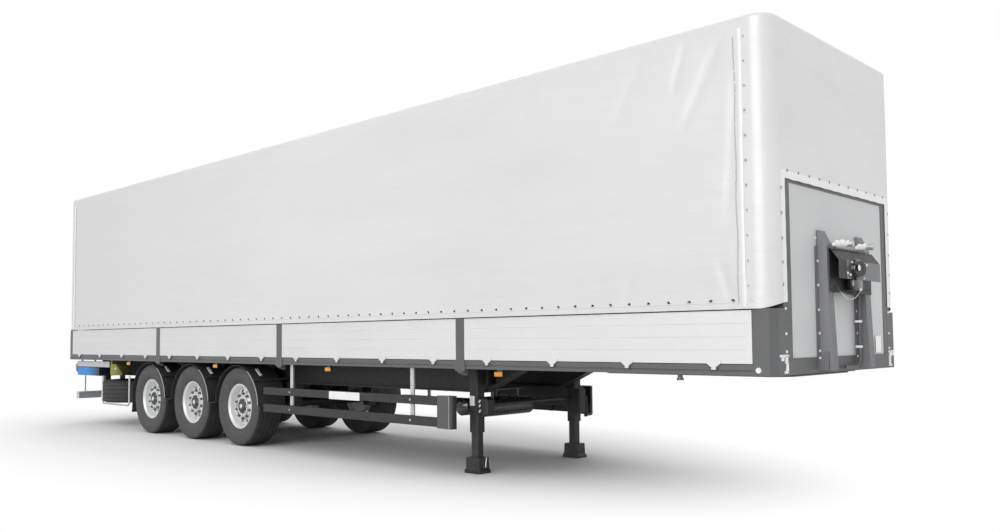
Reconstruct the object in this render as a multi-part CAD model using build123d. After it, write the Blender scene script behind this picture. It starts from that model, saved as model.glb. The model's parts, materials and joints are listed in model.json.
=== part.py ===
from build123d import *
import math
import os

# Three axle drop side semi trailer with a laced tarpaulin cover.
# Millimetres. +X towards the front, +Y to the trailer's left, +Z up from the ground.
# The origin is on the ground in the middle of the overall box.

# Driving sizes of the body
body_length = 13600.0
body_width = 2550.0
body_height = 4000.0
rail_top_z = 1210.0
rail_height = 86.0
rail_width = 70.0
floor_thickness = 28.0
cover_set_in = 20.0        # steelwork lies this far inside the cover
cover_thickness = 8.0
hem_z = 1650.0             # lower edge of the cover along the sides
front_reach = 225.0        # couplings stand this far in front of the body
seat_gap = 0.3             # a piece that rests against a neighbour with a curved or moving face
swing_gap = 6.0            # a moving piece stays this far from what it passes
overrun = 5.0              # how far every cutter runs past what it cuts

# Driving sizes of the chassis and running gear
axle_spacing = 1310.0
middle_axle_from_rear = 4360.0
track = 2040.0
tyre_radius = 536.0
tyre_width = 385.0
rim_seat_radius = 286.0
beam_spacing = 1300.0      # between the webs of the two main beams
beam_flange_width = 140.0
beam_flange = 16.0
beam_web = 8.0
drum_reach = 150.0         # the brake drum's inner face, inboard of the tyre's middle
kingpin_from_front = 1650.0
leg_from_front = 3670.0
sill_length = 110.0

# Places that follow
overall_length = body_length + front_reach
rear_x = -overall_length / 2
front_x = rear_x + body_length
half_width = body_width / 2
steel_y = half_width - cover_set_in
rail_bottom_z = rail_top_z - rail_height
floor_bottom_z = rail_top_z - floor_thickness
rail_inner_y = steel_y - rail_width
beam_y = beam_spacing / 2
axle_z = tyre_radius
rear_face_x = rear_x + cover_set_in
sill_front_x = rear_face_x + sill_length
axle_xs = [rear_x + middle_axle_from_rear + step * axle_spacing for step in (1, 0, -1)]
kingpin_x = front_x - kingpin_from_front
leg_x = front_x - leg_from_front

sides = {"left": 1, "right": -1}
nodes = {}


def block(x, y, z):
    """A block between the low and high of each pair."""
    size = [high - low for low, high in (x, y, z)]
    middle = [(low + high) / 2 for low, high in (x, y, z)]
    return Pos(*middle) * Box(*size)


def about(middle, width):
    """The low and high of a width set about its middle."""
    return (middle - width / 2, middle + width / 2)


def along_x(outline, x):
    """An outline of (y, z) points extruded between two places in X."""
    face = Plane.YZ * Polygon(*outline, align=None)
    return Pos(x[0], 0, 0) * extrude(face, amount=x[1] - x[0], dir=(1, 0, 0))


def along_y(outline, y):
    """An outline of (x, z) points extruded between two places in Y."""
    face = Plane.XZ * Polygon(*outline, align=None)
    return Pos(0, y[0], 0) * extrude(face, amount=y[1] - y[0], dir=(0, 1, 0))


def along_z(outline, z):
    """An outline of (x, y) points extruded between two places in Z."""
    return Pos(0, 0, z[0]) * extrude(Polygon(*outline, align=None), amount=z[1] - z[0], dir=(0, 0, 1))


def rod(start, end, radius):
    """A round bar from one point to another."""
    run = Vector(*end) - Vector(*start)
    plane = Plane(origin=start, z_dir=run.normalized())
    return plane * Cylinder(radius, run.length, align=(Align.CENTER, Align.CENTER, Align.MIN))


def turned(outline, middle):
    """An outline of (radius, distance along +Y) points turned about an axle line through the middle."""
    face = Polygon(*outline, align=None)
    ring = revolve(face, axis=Axis.Y)
    return Pos(*middle) * ring


def mirrored(piece):
    """The same piece on the other side of the trailer."""
    return mirror(piece, about=Plane.XZ)


def on_side(side, piece):
    """A piece drawn on the left, put on the named side."""
    return piece if sides[side] > 0 else mirrored(piece)


def add(name, *pieces):
    """Store the solids of one node."""
    nodes.setdefault(name, []).extend(solid for piece in pieces for solid in piece.solids())


# Layout of the drop sides, from the rear
panel_count = 4
rear_post_length = 120.0
middle_post_length = 115.0
front_post_length = 200.0
panel_gap = 6.0            # between a drop side's end and the post beside it
posts_length = rear_post_length + front_post_length + (panel_count - 1) * middle_post_length
bay_length = (body_length - posts_length) / panel_count
bay_pitch = bay_length + middle_post_length
bay_starts = [rear_x + rear_post_length + index * bay_pitch for index in range(panel_count)]
post_xs = [start + bay_length + middle_post_length / 2 for start in bay_starts[:-1]]


# Main beams: level up to the landing legs, then a ramp up to the shallow neck
beam_depth = 337.0
neck_depth = 82.0
ramp_from_leg = -10.0
ramp_length = 560.0
ramp_start = leg_x + ramp_from_leg
ramp_end = ramp_start + ramp_length
neck_front_set_in = 200.0
beam_top_z = floor_bottom_z
beam_bottom_z = beam_top_z - beam_depth
neck_z = beam_top_z - neck_depth
beam_x = (sill_front_x, front_x - neck_front_set_in)


def beam_outline(inset):
    """The side view of a main beam, drawn in by the inset all round."""
    slope = math.atan2(beam_depth - neck_depth, ramp_length)
    shift = inset * math.tan(slope / 2)
    return [
        (beam_x[0] + inset, beam_top_z - inset),
        (beam_x[0] + inset, beam_bottom_z + inset),
        (ramp_start - shift, beam_bottom_z + inset),
        (ramp_end - shift, neck_z + inset),
        (beam_x[1] - inset, neck_z + inset),
        (beam_x[1] - inset, beam_top_z - inset),
    ]


def main_beam():
    """One I section beam on the left."""
    beam = along_y(beam_outline(0), about(beam_y, beam_flange_width))
    web = about(beam_y, beam_web)
    outer = beam_flange_width / 2 + overrun
    beam -= along_y(beam_outline(beam_flange), (web[1], beam_y + outer))
    return beam - along_y(beam_outline(beam_flange), (beam_y - outer, web[0]))


add("chassis_beams", main_beam(), mirrored(main_beam()))


# Cross members: a tapered outrigger each side and a piece between the beams at every station
member_wall = 6.0
member_width = 50.0
outrigger_tip = 58.0
member_depth = neck_depth - beam_flange
station_count = 25
station_margin = 420.0
stations = [
    rear_x + station_margin + index * (body_length - 2 * station_margin) / (station_count - 1)
    for index in range(station_count)
]


def outrigger_outline(inset):
    """An outrigger seen from the front, from the beam's web out to the side rail."""
    under_flange = beam_top_z - beam_flange
    root = beam_y + beam_web / 2
    edge = beam_y + beam_flange_width / 2
    return [
        (root + inset, under_flange - inset),
        (edge + inset, under_flange - inset),
        (edge + inset, beam_top_z - inset),
        (rail_inner_y - inset, beam_top_z - inset),
        (rail_inner_y - inset, beam_top_z - outrigger_tip + inset),
        (root + inset, beam_top_z - member_depth + inset),
    ]


def outrigger(x):
    """One open channel outrigger on the left."""
    piece = along_x(outrigger_outline(0), about(x, member_width))
    return piece - along_x(outrigger_outline(member_wall), (x - member_width / 2 + member_wall, x + member_width))


def inner_member(x):
    """One open channel between the two beams."""
    flange_edge = beam_y - beam_flange_width / 2
    piece = block(about(x, member_width), (-flange_edge, flange_edge), (beam_top_z - member_depth, beam_top_z))
    hollow = (beam_top_z - member_depth + member_wall, beam_top_z - member_wall)
    cut = block((x - member_width / 2 + member_wall, x + member_width), about(0, body_width), hollow)
    return piece - cut


for station in stations:
    add("cross_members", outrigger(station), mirrored(outrigger(station)), inner_member(station))


# Floor between the side rails
add(
    "deck_floor",
    block(
        (sill_front_x, front_x - front_post_length / 2),
        (-rail_inner_y, rail_inner_y),
        (floor_bottom_z, rail_top_z),
    ),
)


# Side rails with a lashing groove and the fixed ears of the hinges
rail_wall = 9.0
groove_height = 14.0
groove_depth = 8.0
hinge_count = 4
hinge_spacing = 851.0
hinge_drop = 38.0          # hinge line below the rail's top
hinge_out = 11.0           # hinge line outside the steel face
pin_radius = 5.0
pin_sides = 8
tongue_width = 36.0
tongue_thickness = 12.0    # the tongue is centred on the hinge line
tongue_end = 5.0           # how far the tongue reaches past the hinge line
tongue_neck = 13.0         # the straight part above the hinge line
ear_thickness = 8.0
ear_half = 8.0             # half of the ear's height, and its reach past the pin
ear_gap = 5.5
hinge_z = rail_top_z - hinge_drop
hinge_y = steel_y + hinge_out
panel_xs = [start + bay_length / 2 for start in bay_starts]


def hinge_places(middle, count, spacing):
    """Where the hinges of one drop side stand along it."""
    return [middle + (index - (count - 1) / 2) * spacing for index in range(count)]


def hinge_ears(x):
    """The two fixed ears of one hinge, welded to the left rail."""
    ears = []
    for way in (1, -1):
        start = x + way * (tongue_width / 2 + ear_gap)
        span = tuple(sorted((start, start + way * ear_thickness)))
        ears.append(block(span, (steel_y, hinge_y + ear_half), about(hinge_z, 2 * ear_half)))
    return ears


def side_rail():
    """The left side rail, open on its inner side."""
    outline = [
        (rail_inner_y, rail_bottom_z),
        (steel_y, rail_bottom_z),
        (steel_y, rail_bottom_z + rail_height / 3),
        (steel_y - groove_depth, rail_bottom_z + rail_height / 3),
        (steel_y - groove_depth, rail_bottom_z + rail_height / 3 + groove_height),
        (steel_y, rail_bottom_z + rail_height / 3 + groove_height),
        (steel_y, rail_top_z),
        (rail_inner_y, rail_top_z),
        (rail_inner_y, rail_top_z - rail_height / 2),
        (rail_inner_y + rail_wall, rail_top_z - rail_height / 2),
        (rail_inner_y + rail_wall, rail_top_z - rail_wall),
        (steel_y - groove_depth - rail_wall, rail_top_z - rail_wall),
        (steel_y - groove_depth - rail_wall, rail_bottom_z + rail_wall),
        (rail_inner_y, rail_bottom_z + rail_wall),
    ]
    rail = along_x(outline, (rear_x + rear_post_length, front_x - front_post_length))
    places = [x for middle in panel_xs for x in hinge_places(middle, hinge_count, hinge_spacing)]
    return rail + [ear for x in places for ear in hinge_ears(x)]


for side in sides:
    add("side_rail_" + side, on_side(side, side_rail()))


# Drop sides: a hollow board profile with end caps, hinge tongues and a top lip
panel_thickness = 25.0
panel_bottom_z = rail_top_z + swing_gap
panel_under_hem = 10.0
panel_top_z = hem_z - panel_under_hem
panel_cap_length = 42.0
panel_cap_thickness = 32.0
board_count = 4
board_groove = 3.0
tongue_rise = 20.0         # how far the lug overlaps the board's face
tongue_top_width = 120.0


def board_face(face, back, low, high):
    """The section of a drop side with a shallow groove between its boards."""
    pitch = (high - low) / board_count
    half_groove = 2 * board_groove
    points = [(back, low), (face, low)]
    for index in range(1, board_count):
        middle = low + index * pitch
        points += [(face, middle - half_groove), (face - board_groove, middle), (face, middle + half_groove)]
    return points + [(face, high), (back, high)]


def hinge_tongue(place, face, line, line_z):
    """A V shaped hinge lug and its pin, drawn on the left for a hinge line along X."""
    narrow = tongue_width / 2
    wide = tongue_top_width / 2
    top = panel_bottom_z + tongue_rise
    neck = line_z + tongue_neck
    outline = [
        (place - narrow, line_z - tongue_end),
        (place + narrow, line_z - tongue_end),
        (place + narrow, neck),
        (place + wide, panel_bottom_z),
        (place + wide, top),
        (place - wide, top),
        (place - wide, panel_bottom_z),
        (place - narrow, neck),
    ]
    strap = along_y(outline, about(line, tongue_thickness))
    strap += block(about(place, tongue_top_width), (face, line), (panel_bottom_z, top))
    pin_reach = narrow + ear_gap - seat_gap
    pin = extrude(RegularPolygon(pin_radius, pin_sides), pin_reach, both=True)
    return strap + Pos(place, line, line_z) * Rot(0, 90, 0) * pin


def drop_side(start):
    """One drop side on the left, closed and upright."""
    span = (start + panel_gap, start + bay_length - panel_gap)
    panel = along_x(board_face(steel_y, steel_y - panel_thickness, panel_bottom_z, panel_top_z), span)
    back = steel_y - panel_cap_thickness
    caps = [
        block((end, end + panel_cap_length), (back, steel_y), (panel_bottom_z, panel_top_z))
        for end in (span[0], span[1] - panel_cap_length)
    ]
    places = hinge_places(start + bay_length / 2, hinge_count, hinge_spacing)
    return panel + caps + [hinge_tongue(place, steel_y, hinge_y, hinge_z) for place in places]


for index, start in enumerate(bay_starts):
    for side in sides:
        add(f"drop_side_{index + 1}_{side}", on_side(side, drop_side(start)))


# Stanchions between the drop sides, carrying the roof
stanchion_depth = 62.0
stanchion_wall = 6.0
stanchion_neck_length = 84.0
stanchion_neck_depth = 50.0
roof_rail_height = 90.0
roof_rail_width = 50.0
roof_under_z = body_height - cover_thickness
roof_rail_z = roof_under_z - seat_gap - roof_rail_height
foot_bracket_drop = 70.0
foot_bracket_width = 90.0
foot_plate_width = 150.0
foot_plate_wall = 6.0
foot_plate_drop = 20.0


def stanchion(x):
    """One post on the left: a wide pocket behind the drop sides' ends and a slimmer neck above."""
    pocket = block(about(x, middle_post_length), (steel_y - stanchion_depth, steel_y), (rail_top_z, hem_z))
    neck_y = (steel_y - stanchion_neck_depth, steel_y)
    neck = block(about(x, stanchion_neck_length), neck_y, (hem_z, roof_rail_z))
    hollow_x = about(x, stanchion_neck_length - 2 * stanchion_wall)
    hollow_y = (neck_y[0] - overrun, neck_y[1] - stanchion_wall)
    hollow = block(hollow_x, hollow_y, (hem_z + stanchion_wall, roof_rail_z - stanchion_wall))
    post = pocket + neck - hollow
    foot = [
        (rail_inner_y, rail_bottom_z),
        (steel_y, rail_bottom_z),
        (steel_y, rail_bottom_z - foot_bracket_drop / 2),
        (rail_inner_y, rail_bottom_z - foot_bracket_drop),
    ]
    plate_y = (steel_y, steel_y + foot_plate_wall)
    plate = block(about(x, foot_plate_width), plate_y, (rail_bottom_z - foot_plate_drop, rail_top_z))
    return [post, along_x(foot, about(x, foot_bracket_width)) + plate]


for x in post_xs:
    for piece in stanchion(x):
        add("stanchions", piece, mirrored(piece))


# Rear frame: corner posts, sill and header
rear_post_width = 95.0
rear_neck_set_in = 40.0
rear_neck_side_in = 20.0
header_height = 110.0
tail_hinge_count = 5
tail_hinge_spacing = 480.0


def rear_frame():
    """The rear portal, with the fixed ears of the tailboard's hinges on its sill."""
    inner = steel_y - rear_post_width
    post_end = rear_x + rear_post_length
    neck_x = (rear_face_x + rear_neck_set_in, post_end)
    post = block((rear_face_x, post_end), (inner, steel_y), (rail_bottom_z, hem_z))
    post += block(neck_x, (inner, steel_y - rear_neck_side_in), (hem_z, roof_rail_z))
    frame = post + mirrored(post)
    frame += block((rear_face_x, sill_front_x), (-inner, inner), (rail_bottom_z, rail_top_z))
    frame += block(neck_x, (-inner, inner), (roof_rail_z - header_height, roof_rail_z))
    ear_x = (rear_face_x - hinge_out - ear_half, rear_face_x)
    ears = []
    for place in hinge_places(0, tail_hinge_count, tail_hinge_spacing):
        for way in (1, -1):
            start = place + way * (tongue_width / 2 + ear_gap)
            span = tuple(sorted((start, start + way * ear_thickness)))
            ears.append(block(ear_x, span, about(hinge_z, 2 * ear_half)))
    return frame + ears


add("rear_frame", rear_frame())


# Tailboard, hinged at the sill
def tailboard():
    """The tailboard drawn as a left drop side about the middle, then turned to face the rear."""
    inner = steel_y - rear_post_width - panel_gap
    board = along_x(board_face(0, -panel_thickness, panel_bottom_z, panel_top_z), (-inner, inner))
    for end in (-inner, inner - panel_cap_length):
        board += block((end, end + panel_cap_length), (-panel_cap_thickness, 0), (panel_bottom_z, panel_top_z))
    for place in hinge_places(0, tail_hinge_count, tail_hinge_spacing):
        board += hinge_tongue(place, 0, hinge_out, hinge_z)
    return Pos(rear_face_x, 0, 0) * Rot(0, 0, 90) * board


add("tailboard", tailboard())


# Front corner posts, base beam and top rail around the bulkhead
bulkhead_half = 1040.0
bulkhead_top_z = 2680.0
bulkhead_base_z = 1256.0
frame_depth = 75.0
frame_set_in = 10.0
frame_bar = 60.0
corner_radius = 170.0
corner_post_reach = 110.0
front_face_x = front_x - frame_set_in


def bulkhead_frame():
    """The front frame: L shaped corner posts, base beam, head rail and side bars."""
    side_x = (front_x - front_post_length, front_x - corner_radius + corner_post_reach)
    side_y = (steel_y - stanchion_depth, steel_y)
    post = block(side_x, side_y, (rail_bottom_z, hem_z))
    upper_x = (side_x[0], side_x[0] + stanchion_neck_length)
    post += block(upper_x, side_y, (hem_z, roof_rail_z))
    depth_x = (front_face_x - frame_depth, front_face_x)
    post += block(depth_x, (bulkhead_half, steel_y - stanchion_depth), (rail_bottom_z, hem_z))
    post += block(depth_x, (bulkhead_half, bulkhead_half + frame_bar), (hem_z, roof_rail_z))
    bevel = [
        (side_x[1], steel_y),
        (side_x[1], steel_y - stanchion_depth),
        (front_face_x, steel_y - stanchion_depth),
    ]
    post += along_z(bevel, (rail_bottom_z, hem_z))
    frame = post + mirrored(post)
    frame += block(depth_x, (-bulkhead_half, bulkhead_half), (rail_bottom_z, bulkhead_base_z))
    frame += block(depth_x, (-bulkhead_half, bulkhead_half), (bulkhead_top_z, bulkhead_top_z + frame_bar))
    frame += block(depth_x, (-bulkhead_half, bulkhead_half), (roof_rail_z - frame_bar, roof_rail_z))
    return frame


add("bulkhead_frame", bulkhead_frame())


# Bulkhead wall with shallow upright swages
wall_thickness = 30.0
wall_set_in = 8.0
swage_count = 7
swage_width = 60.0
swage_depth = 5.0


def bulkhead_wall():
    """The wall plate, with upright swages pressed in its front face."""
    face = front_face_x - wall_set_in
    points = [(face - wall_thickness, -bulkhead_half), (face, -bulkhead_half)]
    pitch = 2 * bulkhead_half / swage_count
    for index in range(1, swage_count):
        middle = -bulkhead_half + index * pitch
        points += [
            (face, middle - swage_width / 2),
            (face - swage_depth, middle - swage_width / 3),
            (face - swage_depth, middle + swage_width / 3),
            (face, middle + swage_width / 2),
        ]
    points += [(face, bulkhead_half), (face - wall_thickness, bulkhead_half)]
    return along_z(points, (bulkhead_base_z, bulkhead_top_z))


add("bulkhead_wall", bulkhead_wall())


# Two hat section braces bolted in front of the wall, deeper at the foot
brace_bottom_z = 1150.0
brace_waist_z = 1780.0
brace_shoulder_z = 2180.0
brace_top_z = 2315.0
brace_wall = 6.0
brace_foot_depth = 105.0
brace_depth = 78.0
brace_top_depth = 14.0
brace_flange_y = (290.0, 508.0)
brace_side_y = (332.0, 466.0)
brace_face_y = (344.0, 450.0)
brace_spread = 26.0        # how much wider the foot is on its outer side
brace_spread_z = 1300.0


def brace():
    """The left brace: a bolting plate on the wall and the box in front of it."""
    back = front_face_x
    side = [
        (back, brace_bottom_z),
        (back + brace_foot_depth, brace_bottom_z),
        (back + brace_depth, brace_waist_z),
        (back + brace_depth, brace_shoulder_z),
        (back + brace_top_depth, brace_top_z),
        (back, brace_top_z),
    ]
    plan = [
        (back, brace_side_y[0]),
        (back + brace_foot_depth, brace_face_y[0]),
        (back + brace_foot_depth, brace_face_y[1]),
        (back, brace_side_y[1]),
    ]
    box = along_z(plan, (brace_bottom_z, brace_top_z)) & along_y(side, brace_flange_y)
    spread = [
        (brace_side_y[1] - brace_wall, brace_bottom_z),
        (brace_side_y[1] + brace_spread, brace_bottom_z),
        (brace_side_y[1] - brace_wall, brace_spread_z),
    ]
    plate = block((back, back + brace_wall), brace_flange_y, (brace_bottom_z, brace_shoulder_z))
    return box + plate + along_x(spread, (back, back + brace_depth))


add("bulkhead_braces", brace(), mirrored(brace()))


# Service console on the braces: a hood open at its ends, a socket, and two air couplings on top
console_y = (-420.0, 462.0)
console_back_z = (1795.0, 2160.0)
console_face_z = (1908.0, 2066.0)
console_depth = 165.0      # the front face, from the bulkhead frame's face
console_shoulder = 96.0    # where the top starts to slope, from the same face
console_wall = 5.0
socket_y = 20.0
socket_z = 1995.0
socket_radius = 46.0
socket_depth = 34.0
socket_box_y = (70.0, 250.0)
socket_box_z = (1828.0, 1960.0)
coupling_ys = (-290.0, 150.0)
coupling_radius = 28.0
coupling_stub = 14.0
coupling_lift = 40.0       # the coupling's middle above the hood


def console():
    """The console's folded hood with a back plate, a socket and a cable box."""
    back = front_face_x + brace_depth + seat_gap
    face = front_face_x + console_depth
    shoulder = front_face_x + console_shoulder
    fold = [
        (back, console_back_z[0]),
        (back + console_wall, console_back_z[0]),
        (back + console_wall, console_back_z[1] - console_wall),
        (shoulder - console_wall, console_back_z[1] - console_wall),
        (face - console_wall, console_face_z[1] - console_wall),
        (face - console_wall, console_face_z[0]),
        (face, console_face_z[0]),
        (face, console_face_z[1]),
        (shoulder, console_back_z[1]),
        (back, console_back_z[1]),
    ]
    hood = along_y(fold, console_y)
    start = (face - console_wall, socket_y, socket_z)
    hood += rod(start, (face + socket_depth, socket_y, socket_z), socket_radius)
    box_x = (back + console_wall / 2, face - console_wall - seat_gap)
    return hood + block(box_x, socket_box_y, socket_box_z)


def air_coupling(y):
    """One palm coupling on its stub above the hood."""
    base_x = front_face_x + brace_depth + console_wall
    head_z = console_back_z[1] + coupling_lift
    tip_x = front_x + front_reach
    stub = rod((base_x, y, console_back_z[1]), (base_x, y, head_z), coupling_stub)
    pipe = rod((base_x - coupling_stub, y, head_z), (tip_x - coupling_radius, y, head_z), coupling_stub)
    palm = rod((tip_x - 2 * coupling_radius, y, head_z), (tip_x, y, head_z), coupling_radius)
    return stub + pipe + palm


add("service_console", console())
for y in coupling_ys:
    add("air_couplings", air_coupling(y))


# Roof frame: two roof rails and the bows between them
bow_count = 19
bow_length = 40.0
bow_height = 60.0
roof_rail_x = (rear_x + rear_post_length, front_x - front_post_length)
roof_rail_y = (steel_y - roof_rail_width, steel_y)


def roof_frame():
    """Both roof rails with the bows fused between them."""
    rail = block(roof_rail_x, roof_rail_y, (roof_rail_z, roof_rail_z + roof_rail_height))
    frame = rail + mirrored(rail)
    length = roof_rail_x[1] - roof_rail_x[0] - bow_length
    for index in range(bow_count):
        middle = roof_rail_x[0] + bow_length / 2 + index * length / (bow_count - 1)
        top = roof_rail_z + roof_rail_height
        frame += block(about(middle, bow_length), (-roof_rail_y[0], roof_rail_y[0]), (top - bow_height, top))
    return frame


add("roof_frame", roof_frame())


# Side laths hung between the posts
lath_height = 120.0
lath_thickness = 24.0
lath_count = 4
lath_start_share = 0.6
lath_set_in = 14.0


def lath_bays():
    """The clear stretch of every bay between post necks."""
    edges = [rear_x + rear_post_length]
    for x in post_xs:
        edges += [x - stanchion_neck_length / 2, x + stanchion_neck_length / 2]
    edges.append(front_x - front_post_length)
    return list(zip(edges[0::2], edges[1::2]))


for low, high in lath_bays():
    for index in range(lath_count):
        z = hem_z + (index + lath_start_share) * (roof_rail_z - hem_z) / lath_count
        y = (steel_y - lath_set_in - lath_thickness, steel_y - lath_set_in)
        lath = block((low + seat_gap, high - seat_gap), y, about(z, lath_height))
        add("side_laths", lath, mirrored(lath))


# Cover: roof, sides, and the front and rear sheets with their rounded corners
edge_radius = 40.0
rear_corner_radius = rear_post_length
cover_return = 70.0
front_sheet_z = 1688.0
front_seam_x = front_x - corner_radius - cover_return
rear_seam_x = rear_x + rear_corner_radius + cover_return
cover_top_z = body_height - edge_radius


def cover_side():
    """The left side sheet."""
    y = (half_width - cover_thickness, half_width)
    return block((rear_seam_x + seat_gap, front_seam_x - seat_gap), y, (hem_z, cover_top_z))


def end_sheet(end_x, way, seam_x, radius):
    """A sheet across one end that wraps both corners, in plan."""
    def bend(size, corner):
        far = end_x - way * size
        inner = half_width - size
        mid = corner * math.sqrt(0.5)
        centre = (end_x - way * (size + corner), half_width - size - corner)
        side = Line((seam_x, inner), (centre[0], inner))
        arc = ThreePointArc((centre[0], inner), (centre[0] + way * mid, centre[1] + mid), (far, centre[1]))
        across = Line((far, centre[1]), (far, -centre[1]))
        low_arc = ThreePointArc((far, -centre[1]), (centre[0] + way * mid, -centre[1] - mid), (centre[0], -inner))
        low_side = Line((centre[0], -inner), (seam_x, -inner))
        return [side, arc, across, low_arc, low_side]

    outer = bend(0, radius)
    inner = bend(cover_thickness, radius - cover_thickness)
    caps = [
        Line((seam_x, half_width), (seam_x, half_width - cover_thickness)),
        Line((seam_x, -half_width), (seam_x, -half_width + cover_thickness)),
    ]
    return make_face(outer + inner + caps)


def front_sheet():
    """The front sheet, cut out around the bulkhead and raised a little between its corners."""
    face = end_sheet(front_x, 1, front_seam_x, corner_radius)
    sheet = Pos(0, 0, hem_z) * extrude(face, amount=cover_top_z - hem_z, dir=(0, 0, 1))
    cut_x = (front_x - corner_radius, front_x + overrun)
    flat_y = half_width - corner_radius
    sheet -= block(cut_x, (-flat_y, flat_y), (hem_z - overrun, front_sheet_z))
    return sheet - block(cut_x, (-bulkhead_half, bulkhead_half), (hem_z - overrun, bulkhead_top_z))


def rear_sheet():
    """The rear sheet, whole across the portal."""
    face = end_sheet(rear_x, -1, rear_seam_x, rear_corner_radius)
    return Pos(0, 0, hem_z) * extrude(face, amount=cover_top_z - hem_z, dir=(0, 0, 1))


def lid(inset, z):
    """A slab over the whole roof, drawn in by the inset, with its corners rounded in plan."""
    slab = block((rear_x + inset, front_x - inset), about(0, body_width - 2 * inset), z)
    rear_pair = slab.edges().filter_by(Axis.Z).sort_by(Axis.X)[:2]
    slab = fillet(rear_pair, rear_corner_radius - inset)
    front_pair = slab.edges().filter_by(Axis.Z).sort_by(Axis.X)[-2:]
    return fillet(front_pair, corner_radius - inset)


def roof_sheet():
    """The roof sheet with its edges turned down to the side sheets."""
    sheet = lid(0, (cover_top_z + seat_gap, body_height))
    sheet = chamfer(sheet.faces().sort_by(Axis.Z)[-1].edges(), edge_radius / 2)
    return sheet - lid(cover_set_in - seat_gap, (cover_top_z, roof_under_z))


add("cover_sides", cover_side(), mirrored(cover_side()))
add("cover_front", front_sheet())
add("cover_rear", rear_sheet())
add("cover_roof", roof_sheet())


# Coupler plate and kingpin
plate_thickness = 10.0
plate_half = 560.0
plate_from_front = 2140.0
plate_x = (front_x - plate_from_front, front_x - neck_front_set_in)
kingpin_length = 84.0
kingpin_shoulder_radius = 36.5
kingpin_shoulder = 30.0
kingpin_neck_radius = 25.4
kingpin_neck = 35.0
kingpin_collar_radius = 35.7
plate_bottom_z = neck_z - plate_thickness


def coupler():
    """The rubbing plate with the kingpin standing down from it."""
    plate = block(plate_x, (-plate_half - beam_flange_width, plate_half + beam_flange_width), (plate_bottom_z, neck_z))
    plate = chamfer(plate.edges().filter_by(Axis.Z), plate_half / 4)
    outline = [
        (0, 0),
        (kingpin_shoulder_radius, 0),
        (kingpin_shoulder_radius, -kingpin_shoulder),
        (kingpin_neck_radius, -kingpin_shoulder),
        (kingpin_neck_radius, -kingpin_shoulder - kingpin_neck),
        (kingpin_collar_radius, -kingpin_shoulder - kingpin_neck),
        (kingpin_collar_radius, -kingpin_length),
        (0, -kingpin_length),
    ]
    pin = revolve(Plane.XZ * Polygon(*outline, align=None), axis=Axis.Z)
    return plate + Pos(kingpin_x, 0, plate_bottom_z) * pin


add("coupler_plate", coupler())


# Landing legs with gearboxes, feet and the shaft between them
leg_y = 830.0
leg_tube = 122.0
leg_inner_tube = 98.0
leg_split_z = 430.0
foot_length = 250.0
foot_width = 200.0
foot_plate = 12.0
foot_corner = 45.0
foot_edge = 24.0
foot_waist = (205.0, 48.0)      # length of the shoe above its flared edge, and its height there
foot_crown = 190.0
foot_pivot_z = 165.0
foot_saddle_width = 150.0
gearbox_width = 130.0
gearbox_reach = {"left": 78.0, "right": 150.0}
gearbox_z = {"left": (530.0, 820.0), "right": (630.0, 795.0)}
gearbox_chamfer = 15.0
shaft_radius = 14.0
shaft_z = 712.0
crank_throw = 210.0
crank_grip = 110.0
crank_flat_width = 40.0
leg_below_rail = 20.0
leg_top_z = rail_bottom_z - leg_below_rail
leg_pad_length = 220.0
leg_pad_height = 165.0


def landing_leg():
    """The left leg down to its foot."""
    leg = block(about(leg_x, leg_tube), about(leg_y, leg_tube), (leg_split_z, leg_top_z))
    leg += block(about(leg_x, leg_inner_tube), about(leg_y, leg_inner_tube), (foot_pivot_z, leg_split_z))
    leg = chamfer(leg.edges().filter_by(Axis.Z), leg_tube / 12)
    outline = [
        (leg_x - foot_length / 2, 0),
        (leg_x + foot_length / 2, 0),
        (leg_x + foot_length / 2, foot_edge),
        (leg_x + foot_waist[0] / 2, foot_waist[1]),
        (leg_x + foot_crown / 2, foot_pivot_z),
        (leg_x - foot_crown / 2, foot_pivot_z),
        (leg_x - foot_waist[0] / 2, foot_waist[1]),
        (leg_x - foot_length / 2, foot_edge),
    ]
    saddle = along_y(outline, about(leg_y, foot_saddle_width))
    sole = block(about(leg_x, foot_length), about(leg_y, foot_width), (0, foot_plate))
    sole = fillet(sole.edges().filter_by(Axis.Z), foot_corner)
    inner = leg_y - leg_tube / 2
    pad_y = (beam_y + beam_web / 2, inner)
    pad = block(about(leg_x, leg_pad_length), pad_y, (leg_top_z - leg_pad_height, leg_top_z))
    return leg + saddle + sole + pad


def gearbox(side):
    """The gearbox on the front face of one leg, drawn on the left."""
    face = leg_x + leg_tube / 2
    box = block((face, face + gearbox_reach[side]), about(leg_y, gearbox_width), gearbox_z[side])
    return chamfer(box.faces().sort_by(Axis.X)[-1].edges(), gearbox_chamfer)


for side in sides:
    add("landing_leg_" + side, on_side(side, landing_leg() + gearbox(side)))


def crank():
    """The folded crank on the left gearbox: a spindle, a flat arm and a grip."""
    face = leg_y + gearbox_width / 2
    arm_face = face + 2 * shaft_radius
    x = leg_x + leg_tube / 2 + gearbox_reach["left"] / 2
    spindle_z = shaft_z
    foot_z = spindle_z - crank_throw
    spindle = rod((x, face, spindle_z), (x, arm_face, spindle_z), shaft_radius)
    flat_z = (foot_z - crank_flat_width / 2, spindle_z + crank_flat_width / 2)
    flat = block(about(x, crank_flat_width), (arm_face, arm_face + shaft_radius), flat_z)
    grip = rod((x, arm_face + shaft_radius, foot_z), (x, arm_face + crank_grip, foot_z), shaft_radius)
    return spindle + flat + grip


inner_face = leg_y - leg_tube / 2 - seat_gap
add("landing_shaft", rod((leg_x, -inner_face, shaft_z), (leg_x, inner_face, shaft_z), shaft_radius), crank())


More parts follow.
